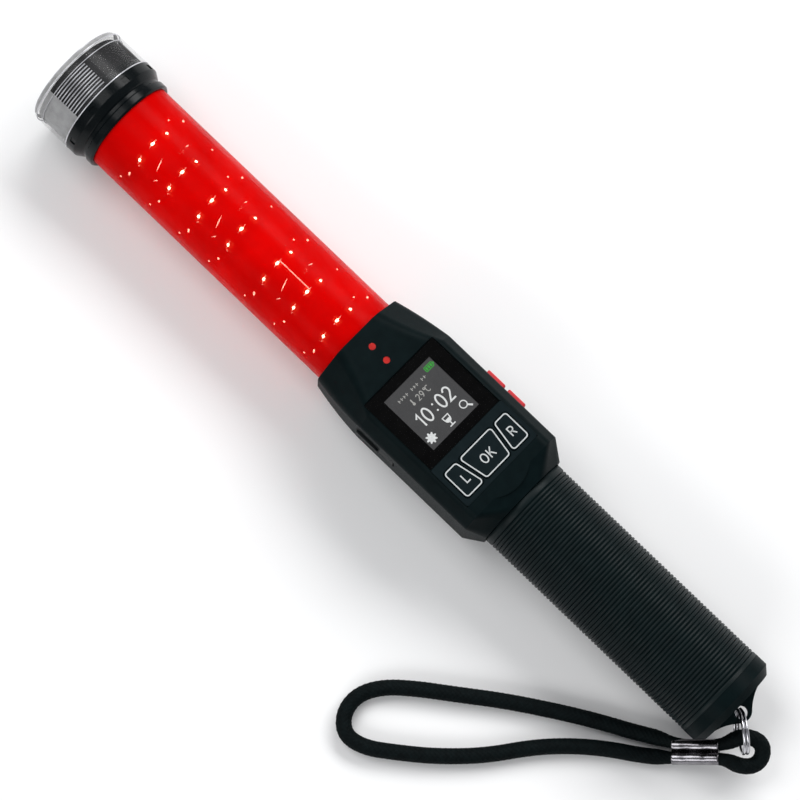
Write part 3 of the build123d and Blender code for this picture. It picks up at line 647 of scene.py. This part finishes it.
BAND_STEPS = 120
bands = bmesh.new()
for band_x, band_radius, thickness in (
    (CAP_FRONT - 0.5 * MM, CAP_RADIUS - 1.25 * MM, 0.22),
    (CAP_FRONT - 2.6 * MM, CAP_RADIUS - 0.1 * MM, 0.24),
    (CAP_FRONT - 5.2 * MM, inner + 0.8 * MM, 0.2),
    (CAP_BACK + 0.25 * MM, CAP_RADIUS - 0.1 * MM, 0.26),
):
    ring_points = [around(band_x, band_radius, math.tau * k / BAND_STEPS) for k in range(BAND_STEPS + 1)]
    merge(bands, rod(ring_points, thickness * MM, 8))
smooth(add_piece("cap_bands", bands, BRIGHT_RIB, "baton", "clear_lens"), 60)

# ---- Light tube: lamps, with painted glints, painted flares, painted reflection streaks and a painted highlight line ----
LAMP_ROWS = [(143.0 - 16.8 * i) * MM for i in range(4)] + [(72.4 - 16.8 * i) * MM for i in range(3)]
STRIPS = 6
LAMP_TOP = 9.0 * MM
STREAK_RADIUS = 11 * MM
RAY_STEPS, STREAK_STEPS = 6, 8
WALL_INSIDE = TUBE_RADIUS - 2.6 * MM
lamps, glints, painted_streaks = bmesh.new(), bmesh.new(), bmesh.new()


def bead(bm, centre, outward, size, squash=0.6):
    """A small round bead with its flat side inwards."""
    bead_mesh = bmesh.new()
    bmesh.ops.create_icosphere(bead_mesh, subdivisions=2, radius=1)
    turn = Vector((0, 0, 1)).rotation_difference(outward).to_matrix().to_4x4()
    shape = Matrix.Diagonal((size[0], size[1], squash * min(size), 1))
    merge(bm, bead_mesh, Matrix.Translation(centre) @ turn @ shape)


def ray_radius(t):
    """A lamp's painted flare ray thins out from the lamp."""
    return (0.03 + 0.17 * (1 - t)) * MM


def streak_radius(t):
    """A painted reflection streak is thickest in its middle."""
    return (0.02 + 0.2 * math.sin(math.pi * t)) * MM


for row, row_x in enumerate(LAMP_ROWS):
    for strip in range(STRIPS):
        angle = math.tau * strip / STRIPS
        centre = around(row_x, LAMP_TOP, angle)
        outward = Vector((0, math.sin(angle), math.cos(angle)))
        bead(lamps, centre, outward, (0.62 * MM, 0.95 * MM))
        # painted flares: two glowing rays from each lamp stand in for its star glare
        for side, reach in ((-1, 2.6), (1, 2.1)):
            tip = around(row_x - 0.25 * side * MM, LAMP_TOP + 0.3 * MM, angle + side * reach * MM / LAMP_TOP)
            ray = [centre + (tip - centre) * k / RAY_STEPS for k in range(RAY_STEPS + 1)]
            merge(painted_streaks, rod(ray, ray_radius, 6))
    # painted glints: glowing beads on the inside of the tube's wall, beside every second row, stand in for
    # reflections of the lamps
    for third in range(3):
        turn = math.tau * third / 3
        for offset, degrees, size in ((1.2, -37, 0.4), (-2.0, -61, 0.5), (-2.2, 62, 0.4)):
            if row % 2 == 0 or third:
                place = around(row_x + offset * MM, WALL_INSIDE, turn + math.radians(degrees))
                outward = (place - Vector((place.x, 0, AXIS_Z))).normalized()
                bead(glints, place, outward, (size * MM, size * MM))

# painted reflections: glowing slanted streaks between pairs of rows stand in for reflections inside the tube
for first, second in ((0, 1), (2, 3), (4, 5)):
    middle = (LAMP_ROWS[first] + LAMP_ROWS[second]) / 2
    for third in range(3):
        turn = math.tau * third / 3
        streak = []
        for k in range(STREAK_STEPS + 1):
            share = k / STREAK_STEPS
            streak_x = middle + (0.8 - 1.6 * share) * MM
            streak.append(around(streak_x, STREAK_RADIUS, turn + math.radians(10 + 30 * share)))
        merge(painted_streaks, rod(streak, streak_radius, 6))
# a painted highlight: a glowing rod along the tube between two rows stands in for a reflected highlight line
# on the tube
HIGHLIGHT_LINE_ANGLE = -0.15
link = []
for k in range(STREAK_STEPS + 1):
    highlight_x = LAMP_ROWS[4] + (LAMP_ROWS[5] - LAMP_ROWS[4]) * k / STREAK_STEPS
    link.append(around(highlight_x, LAMP_TOP + 0.5 * MM, HIGHLIGHT_LINE_ANGLE))
merge(painted_streaks, rod(link, 0.16 * MM, 6))
smooth(add_piece("lamp_beads", lamps, LAMP, "baton", "led_white"), 60)
smooth(add_piece("wall_glints", glints, GLINT, "baton", "led_white"), 60)
# the painted flares, painted reflection streaks and painted highlight line, all glowing
smooth(add_piece("painted_lamp_streaks", painted_streaks, PAINTED_STREAK, "baton", "led_white"), 60)

# ---- Display behind its window ----
window_low, window_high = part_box("screen_window")
display_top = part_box("display_module")[1].z
LCD_FRONT, LCD_BACK, LCD_HALF = 0.7 * MM, -26.6 * MM, 12.9 * MM
WINDOW_GLASS = surface(
    "window_glass",
    (0.002, 0.002, 0.002),
    roughness=(0.03, 0.06),
    grain=0.6,
    bump=0,
    Alpha=0.06,
    Specular_IOR_Level=0.12,
)
nodes["screen_window"].data.materials.clear()
nodes["screen_window"].data.materials.append(WINDOW_GLASS)

LCD_GREY = light_material("display_grey", (0.029, 0.029, 0.031), 1.0)
LCD_WHITE = light_material("display_white", (0.82, 0.84, 0.84), 1.0)
LCD_DIM = light_material("display_dim", (0.42, 0.42, 0.4), 1.0)
LCD_GREEN = light_material("display_green", (0.006, 0.42, 0.01), 1.0)

mask_bottom, mask_top = window_low.z + 0.06 * MM, window_low.z + 0.1 * MM
EDGE_GAP = 0.2 * MM
mask = bmesh.new()
x_low, x_high = window_low.x + EDGE_GAP, window_high.x - EDGE_GAP
y_low, y_high = window_low.y + EDGE_GAP, window_high.y - EDGE_GAP
for x0, x1, y0, y1 in (
    (LCD_FRONT, x_high, y_low, y_high),
    (x_low, LCD_BACK, y_low, y_high),
    (LCD_BACK, LCD_FRONT, y_low, -LCD_HALF),
    (LCD_BACK, LCD_FRONT, LCD_HALF, y_high),
):
    plate(mask, [(x0, y0), (x1, y0), (x1, y1), (x0, y1)], mask_bottom, mask_top)
add_piece("window_mask", mask, BLACK_PRINT, "baton", "window_glass")

LCD_LOW = display_top + 0.01 * MM
LCD_TOP = LCD_LOW + 0.03 * MM
INK_TOP = LCD_TOP + 0.02 * MM
panel = bmesh.new()
plate(
    panel,
    [(LCD_BACK, -LCD_HALF), (LCD_FRONT, -LCD_HALF), (LCD_FRONT, LCD_HALF), (LCD_BACK, LCD_HALF)],
    LCD_LOW,
    LCD_TOP,
)
add_piece("display_panel", panel, LCD_GREY, "baton", "display")

white, dim, green = bmesh.new(), bmesh.new(), bmesh.new()


def readout(bm, text, top_x, height, lefts, width, weight):
    """Draws glyphs side by side, each with its left edge at the given Y."""
    for glyph, left in zip(text, lefts):
        draw_glyph(bm, glyph, (top_x - height, left), height, width, weight, LCD_TOP, INK_TOP)


readout(white, "1002", -11.7 * MM, 6.4 * MM, [y * MM for y in (9.6, 6.0, -1.7, -5.8)], 3.4 * MM, 0.74 * MM)
readout(dim, "29", -6.2 * MM, 2.8 * MM, [y * MM for y in (2.6, 0.6)], 1.5 * MM, 0.36 * MM)
readout(dim, "oC", -6.2 * MM, 2.8 * MM, [y * MM for y in (-1.5, -2.4)], 1.8 * MM, 0.36 * MM)
DOT = 0.42 * MM
for dot_x in (-13.4 * MM, -16.6 * MM):
    plate(white, arc(dot_x, 0.1 * MM, DOT, DOT, 0, 345, 15), LCD_TOP, INK_TOP)
# thermometer
stroke(dim, [(-6.0 * MM, 4.9 * MM), (-8.0 * MM, 4.9 * MM)], 0.55 * MM, False, LCD_TOP, INK_TOP)
plate(dim, arc(-8.3 * MM, 4.9 * MM, 0.6 * MM, 0.6 * MM, 0, 345, 15), LCD_TOP, INK_TOP)
# a plain row of ticks in place of the small line of text
for i in range(11):
    tick_y = (8.6 - 1.42 * i) * MM
    if i not in (4, 8):
        stroke(dim, [(-2.9 * MM, tick_y), (-4.2 * MM, tick_y)], 0.34 * MM, False, LCD_TOP, INK_TOP)
        stroke(dim, [(-3.5 * MM, tick_y), (-3.5 * MM, tick_y - 0.7 * MM)], 0.3 * MM, False, LCD_TOP, INK_TOP)
# battery sign with its three bars
battery_corners = [(-1.0, -7.9), (-1.0, -11.9), (-3.0, -11.9), (-3.0, -7.9)]
battery_outline = rounded([(x * MM, y * MM) for x, y in battery_corners], 0.3 * MM, 0)
stroke(green, battery_outline, 0.3 * MM, True, LCD_TOP, INK_TOP)
for bar_y in (-8.75, -9.9, -11.05):
    stroke(green, [(-1.4 * MM, bar_y * MM), (-2.6 * MM, bar_y * MM)], 0.8 * MM, False, LCD_TOP, INK_TOP)
stroke(green, [(-1.6 * MM, -12.3 * MM), (-2.4 * MM, -12.3 * MM)], 0.4 * MM, False, LCD_TOP, INK_TOP)
# magnifier
stroke(white, arc(-22.2 * MM, -8.6 * MM, 1.55 * MM, 1.55 * MM, 0, 345, 23), 0.45 * MM, True, LCD_TOP, INK_TOP)
stroke(white, [(-23.4 * MM, -9.75 * MM), (-25.0 * MM, -11.2 * MM)], 0.75 * MM, False, LCD_TOP, INK_TOP)
# drinking glass
bowl = [(-20.3 * MM, 1.5 * MM), (-20.3 * MM, -1.5 * MM)]
bowl += arc(-21.6 * MM, 0, 1.6 * MM, 1.35 * MM, 270, 90, 12)
stroke(white, bowl, 0.42 * MM, True, LCD_TOP, INK_TOP)
drink = [(-21.6 * MM, 1.2 * MM), (-21.6 * MM, -1.2 * MM)]
drink += arc(-21.7 * MM, 0, 1.4 * MM, 1.15 * MM, 270, 90, 10)
plate(white, drink, LCD_TOP, INK_TOP)
stroke(white, [(-23.2 * MM, 0), (-24.6 * MM, 0)], 0.5 * MM, False, LCD_TOP, INK_TOP)
stroke(white, [(-24.8 * MM, 1.4 * MM), (-24.8 * MM, -1.4 * MM)], 0.5 * MM, False, LCD_TOP, INK_TOP)
# cog
COG_TEETH = 8
cog = []
for i in range(COG_TEETH * 8):
    a = math.tau * i / (COG_TEETH * 8)
    r = (2.0 + 0.38 * math.tanh(3 * math.cos(COG_TEETH * a))) * MM
    cog.append((-22.6 * MM + r * math.cos(a), 9.9 * MM + r * math.sin(a)))
plate(white, cog, LCD_TOP, INK_TOP)
add_piece("display_marks", white, LCD_WHITE, "baton", "display")
add_piece("display_small_marks", dim, LCD_DIM, "baton", "display")
add_piece("display_battery", green, LCD_GREEN, "baton", "display")

# ---- Keys: printed outlines and legends ----
KEY_FRONT, KEY_BACK = -35.9, -49.7
KEYS = {
    "key_left": ([(KEY_FRONT, 17.7), (KEY_FRONT, 10.4), (KEY_BACK, 7.6), (KEY_BACK, 17.7)], (("L", 13.6),)),
    "key_ok": (
        [(KEY_FRONT, 9.2), (KEY_FRONT, -9.6), (KEY_BACK, -7.2), (KEY_BACK, 6.6)],
        (("O", 2.9), ("K", -0.7)),
    ),
    "key_right": (
        [(KEY_FRONT, -10.8), (KEY_FRONT, -18.0), (KEY_BACK, -18.0), (KEY_BACK, -8.4)],
        (("R", -12.6),),
    ),
}
LEGEND_HEIGHT, LEGEND_WIDTH, LEGEND_BOTTOM = 4.1 * MM, 2.9 * MM, -45.3 * MM
LEGEND_WEIGHT, OUTLINE_WEIGHT = 0.52 * MM, 0.5 * MM
OUTLINE_CORNER, OUTLINE_INSET = 1.2 * MM, 0.55 * MM
PRINT_THICKNESS, PRINT_SINK = 0.03 * MM, 0.01 * MM
for key_name, (corners, letters) in KEYS.items():
    key_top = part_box(key_name)[1].z
    marks = bmesh.new()
    outline = rounded([(x * MM, y * MM) for x, y in corners], OUTLINE_CORNER, OUTLINE_INSET)
    stroke(marks, outline, OUTLINE_WEIGHT, True, key_top - PRINT_SINK, key_top + PRINT_THICKNESS)
    for letter, left in letters:
        draw_glyph(
            marks,
            letter,
            (LEGEND_BOTTOM, left * MM),
            LEGEND_HEIGHT,
            LEGEND_WIDTH,
            LEGEND_WEIGHT,
            key_top - PRINT_SINK,
            key_top + PRINT_THICKNESS,
        )
    add_piece(key_name + "_print", marks, PRINT, key_name, "keypad")

# ---- Grip: sleeve with round ribs ----
sleeve_low, sleeve_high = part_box("grip_sleeve")
GRIP_RADIUS = (sleeve_high.z - sleeve_low.z) / 2
SLEEVE_BORE = 19.05 * MM
RIBS, RIB_STEP, RIB_DEPTH = 64, 1.64 * MM, 0.62 * MM
rib_start = sleeve_high.x - 2.6 * MM
CHAMFER = 0.2 * MM
sleeve_profile = [
    (sleeve_high.x, SLEEVE_BORE),
    (sleeve_high.x, GRIP_RADIUS - CHAMFER),
    (sleeve_high.x - CHAMFER, GRIP_RADIUS),
]
RIB_POINTS = 8
for i in range(RIBS * RIB_POINTS + 1):
    phase = i / RIB_POINTS
    depth = RIB_DEPTH * (1 - abs(math.cos(math.pi * phase)) ** 0.55)
    sleeve_profile.append((rib_start - phase * RIB_STEP, GRIP_RADIUS - depth))
sleeve_profile += [(sleeve_low.x, GRIP_RADIUS - 0.05 * MM), (sleeve_low.x, SLEEVE_BORE)]
sleeve = add_piece("ribbed_sleeve", lathe(sleeve_profile, 96), GRIP, "baton", "grip_rubber", "grip_sleeve")
smooth(sleeve, 50)

# ---- Lanyard: cord, ferrule and ring ----
CORD_DIAMETER = 6.6 * MM
CORD_Z = 3.5
FERRULE_LOOP_END = Vector((-176.9, 28.0, 4.6)) * MM
FERRULE_EYE_END = Vector((-190.5, 15.3, 9.8)) * MM
LANYARD_EYE = [
    (-181.9, 18.9, 7.3),
    (-186.0, 14.9, 8.9),
    (-189.0, 10.4, 12.9),
    (-191.9, 5.7, 15.7),
    (-196.6, 2.2, 15.4),
    (-201.0, 2.2, 14.6),
    (-204.1, 5.6, 12.8),
    (-204.0, 10.1, 11.4),
    (-200.2, 13.9, 10.9),
    (-195.1, 16.4, 10.4),
    (-190.3, 20.2, 8.8),
    (-182.6, 27.3, 5.9),
]
WRIST_LOOP = [
    (-176.3, 31.2),
    (-168.3, 38.0),
    (-157.8, 44.8),
    (-146.5, 54.0),
    (-135.5, 65.5),
    (-124.0, 81.5),
    (-109.9, 95.6),
    (-97.2, 105.6),
    (-87.0, 112.9),
    (-77.6, 114.8),
    (-71.2, 108.6),
    (-70.3, 99.4),
    (-75.5, 90.2),
    (-85.5, 81.4),
    (-98.9, 71.7),
    (-113.9, 60.5),
    (-131.4, 49.1),
    (-147.0, 39.8),
    (-160.0, 33.0),
    (-168.8, 27.4),
]
LANYARD_RETURN = [(-177.6, 22.9, 5.6), (-181.5, 19.3, 7.1)]
route = [Vector(p) * MM for p in LANYARD_EYE]
route += [Vector((x, y, CORD_Z)) * MM for x, y in WRIST_LOOP]
route += [Vector(p) * MM for p in LANYARD_RETURN]

ferrule_axis = (FERRULE_EYE_END - FERRULE_LOOP_END).normalized()
ferrule_side = Vector((-ferrule_axis.y, ferrule_axis.x, 0)).normalized()
ferrule_up = ferrule_axis.cross(ferrule_side)
FERRULE_LENGTH = 19.0 * MM
LOBE_OFFSET = 2.45 * MM
SQUEEZE_FADE = 7 * MM  # how far from the ferrule its grip still draws the cord in
LOBE_REACH = 9 * MM  # route points further from the ferrule's axis than this are left alone


def squeeze_share(point):
    """How far a point is into the ferrule's grip: 1 inside it, fading to 0 about a cord's width away."""
    along = (point - FERRULE_LOOP_END).dot(ferrule_axis)
    outside = max(-along, along - FERRULE_LENGTH, 0)
    t = min(outside / SQUEEZE_FADE, 1)
    return 1 - t * t * (3 - 2 * t)


def drawn_in(point):
    """A route point moved sideways towards its lobe of the ferrule."""
    offset = point - FERRULE_LOOP_END
    sideways = offset.dot(ferrule_side)
    lift = offset.dot(ferrule_up)
    if abs(sideways) > LOBE_REACH:
        return point
    share = squeeze_share(point)
    wanted = math.copysign(LOBE_OFFSET, sideways)
    return point + ferrule_side * (wanted - sideways) * share - ferrule_up * lift * share


curve = bpy.data.curves.new("cord_route", "CURVE")
curve.dimensions = "3D"
curve.resolution_u = 24
spline = curve.splines.new("NURBS")
cord_points = [drawn_in(p) for p in route]
spline.points.add(len(cord_points) - 1)
for control, point in zip(spline.points, cord_points):
    control.co = (*point, 1)
spline.order_u = 3
spline.use_endpoint_u = True
route_object = bpy.data.objects.new("cord_route", curve)
scene.collection.objects.link(route_object)
bpy.context.view_layer.update()
sampled = bpy.data.meshes.new_from_object(route_object)
coarse = [v.co.copy() for v in sampled.vertices]
bpy.data.objects.remove(route_object)


def resample(points, step):
    """The same path with its points an even step apart, and its length."""
    lengths = [0.0]
    for a, b in zip(points, points[1:]):
        lengths.append(lengths[-1] + (b - a).length)
    count = round(lengths[-1] / step)
    even, k = [], 0
    for i in range(count + 1):
        wanted = lengths[-1] * i / count
        while k < len(points) - 2 and lengths[k + 1] < wanted:
            k += 1
        span = max(lengths[k + 1] - lengths[k], 1e-9)
        even.append(points[k].lerp(points[k + 1], (wanted - lengths[k]) / span))
    return even, lengths[-1]


CORD_STEP, PATH_STEP = 0.32 * MM, 2 * MM
cord_line, cord_length = resample(coarse, CORD_STEP)
STRANDS = 10  # braid strands that wind each way
BRAID_PITCH = 2.1 * MM  # along the cord from one strand to the next
STRAND_RELIEF, STRAND_LIFT = 0.34 * MM, 0.1 * MM
CORE_RADIUS = CORD_DIAMETER / 2 - STRAND_RELIEF - STRAND_LIFT
SQUEEZE = 0.22  # how much narrower the cord is inside the ferrule
squeezes = [squeeze_share(p) * SQUEEZE for p in cord_line]


def strand_height(position, crossing, over):
    """Height of the nearest strand of one set: round across, and over or under at every crossing."""
    nearest = round(position)
    crown = math.cos(math.pi * (position - nearest) * 0.96)
    wave = math.cos(math.pi * (crossing + nearest)) * over
    return STRAND_RELIEF * crown + STRAND_LIFT * wave


def braided(i, angle):
    """The cord's section: a braid of two sets of strands, pressed narrower inside the ferrule."""
    along = i * CORD_STEP / BRAID_PITCH
    turned = angle / math.tau * STRANDS
    one, other = along + turned, along - turned
    height = max(strand_height(one, other, 1), strand_height(other, one, -1))
    radius = (CORE_RADIUS + height) * (1 - squeezes[i])
    return radius * math.cos(angle), radius * math.sin(angle)


CORD = surface(
    "braided_cord",
    (0.0015, 0.003, 0.0034),
    (0.003, 0.006, 0.0066),
    roughness=(0.55, 0.75),
    grain=5.0,
    bump=0.05,
    bump_scale=7.0,
    Specular_IOR_Level=0.06,
)
CORD_SIDES = 70
cord_mesh = tube_mesh(cord_line, braided, CORD_SIDES)
cord = add_piece("braided_cord", cord_mesh, CORD, "lanyard", "cord_black", "lanyard_cord")
smooth(cord, 70)

LOBE_WIDTH, LOBE_HEIGHT = 2.75 * MM, 3.4 * MM
FERRULE_WALL = 0.5 * MM
FERRULE_SIDES = 96


def lobed(angle, shrink):
    """A point on the two-lobed outline of the ferrule, moved in by shrink."""
    wide, high = LOBE_WIDTH - shrink, LOBE_HEIGHT - shrink
    c, s = math.cos(angle), math.sin(angle)
    shift = math.copysign(LOBE_OFFSET, c) if abs(c) > 1e-9 else 0
    # the outline of the lobe on this side, seen from the middle of the ferrule
    a = (c / wide) ** 2 + (s / high) ** 2
    b = -2 * c * shift / wide**2
    d = (shift / wide) ** 2 - 1
    reach = (-b + math.sqrt(max(b * b - 4 * a * d, 0))) / (2 * a)
    return reach * c, reach * s


ferrule_bm = bmesh.new()
stations = [(0, 0.22), (0.08, 0.08), (0.25, 0)]
stations += [(0.25 + (FERRULE_LENGTH / MM - 0.5) * k / 30, 0) for k in range(1, 30)]
stations += [(FERRULE_LENGTH / MM - 0.25, 0), (FERRULE_LENGTH / MM - 0.08, 0.08), (FERRULE_LENGTH / MM, 0.22)]


DENTS, DENT_DEPTH, DENT_WIDTH = (0.28, 0.72), 0.22, 0.07  # places and width as shares of its length


def crimp(t):
    """The shallow dents of the crimping tool along the ferrule."""
    return sum(DENT_DEPTH * math.exp(-(((t - d) / DENT_WIDTH) ** 2)) for d in DENTS) * MM


rings = []
# the outer wall's ends are rounded inwards, and the inner wall's ends a little outwards
for walk, inset, edge_turn in ((stations, 0, 1), (list(reversed(stations)), FERRULE_WALL, -0.3)):
    for at, edge in walk:
        ring = []
        for k in range(FERRULE_SIDES):
            angle = math.tau * k / FERRULE_SIDES
            dent = crimp(at * MM / FERRULE_LENGTH) * abs(math.sin(angle)) ** 1.5
            side, up = lobed(angle, inset + edge * MM * edge_turn + dent)
            place = FERRULE_LOOP_END + ferrule_axis * at * MM + ferrule_side * side + ferrule_up * up
            ring.append(ferrule_bm.verts.new(place))
        rings.append(ring)
for here, there in zip(rings, rings[1:] + rings[:1]):
    for k in range(FERRULE_SIDES):
        m = (k + 1) % FERRULE_SIDES
        ferrule_bm.faces.new((here[k], here[m], there[m], there[k]))
ferrule = add_piece("ferrule_tube", ferrule_bm, FERRULE, "lanyard", "ferrule_metal", "crimp_ferrule")
smooth(ferrule, 50)

resample(coarse, PATH_STEP)[0]

# ---- Floor, light and camera ----
floor_mesh = bmesh.new()
FLOOR_HALF = 4.0
bmesh.ops.create_grid(floor_mesh, x_segments=1, y_segments=1, size=FLOOR_HALF)
floor_data = bpy.data.meshes.new("floor")
floor_mesh.to_mesh(floor_data)
floor_mesh.free()
floor = bpy.data.objects.new("floor", floor_data)
FLOOR_GAP = 0.4 * MM  # the floor lies just below the baton
floor.location.z = -FLOOR_GAP
scene.collection.objects.link(floor)
FLOOR = surface(
    "pale_floor", (0.86, 0.86, 0.86), (0.88, 0.88, 0.88), roughness=(0.75, 0.85), grain=0.02, bump=0
)
floor_data.materials.append(FLOOR)

world = bpy.data.worlds.new("studio")
scene.world = world
world.use_nodes = True
background = world.node_tree.nodes["Background"]
background.inputs["Color"].default_value = (0.94, 0.96, 1.0, 1)
background.inputs["Strength"].default_value = 0.3


def softbox(name, place, target, size, power, colour=(1, 1, 1)):
    """A rectangular area lamp that faces target."""
    data = bpy.data.lights.new(name, "AREA")
    data.shape = "RECTANGLE"
    data.size, data.size_y = size
    data.energy = power
    data.color = colour
    lamp = bpy.data.objects.new(name, data)
    lamp.location = place
    lamp.rotation_euler = (Vector(target) - Vector(place)).to_track_quat("-Z", "Y").to_euler()
    scene.collection.objects.link(lamp)


softbox("key_light", (0.15, -1.05, 1.0), (0, 0, 0), (1.6, 0.55), 20)
softbox("fill_light", (-0.3, 1.25, 0.95), (0, 0.03, 0), (1.4, 0.6), 9)
softbox("top_light", (0.9, 0.1, 1.5), (0, 0.03, 0), (0.9, 0.9), 10)

camera_data = bpy.data.cameras.new("camera")
camera_data.lens = 129.47
camera_data.sensor_width = 36.0
camera = bpy.data.objects.new("camera", camera_data)
# a long lens above the baton, fitted to the photograph's perspective
CAMERA_PLACE = Vector((-0.1163, 0.17894, 1.16274))
CAMERA_RIGHT = Vector((-0.71812, -0.69519, 0.03385))
CAMERA_UP = Vector((0.68883, -0.70290, 0.17762))
camera_axes = Matrix((CAMERA_RIGHT, CAMERA_UP, CAMERA_RIGHT.cross(CAMERA_UP))).transposed()
camera.matrix_world = Matrix.Translation(CAMERA_PLACE) @ camera_axes.to_4x4()
scene.collection.objects.link(camera)
scene.camera = camera
scene.view_settings.view_transform = "Standard"

bpy.context.view_layer.update()
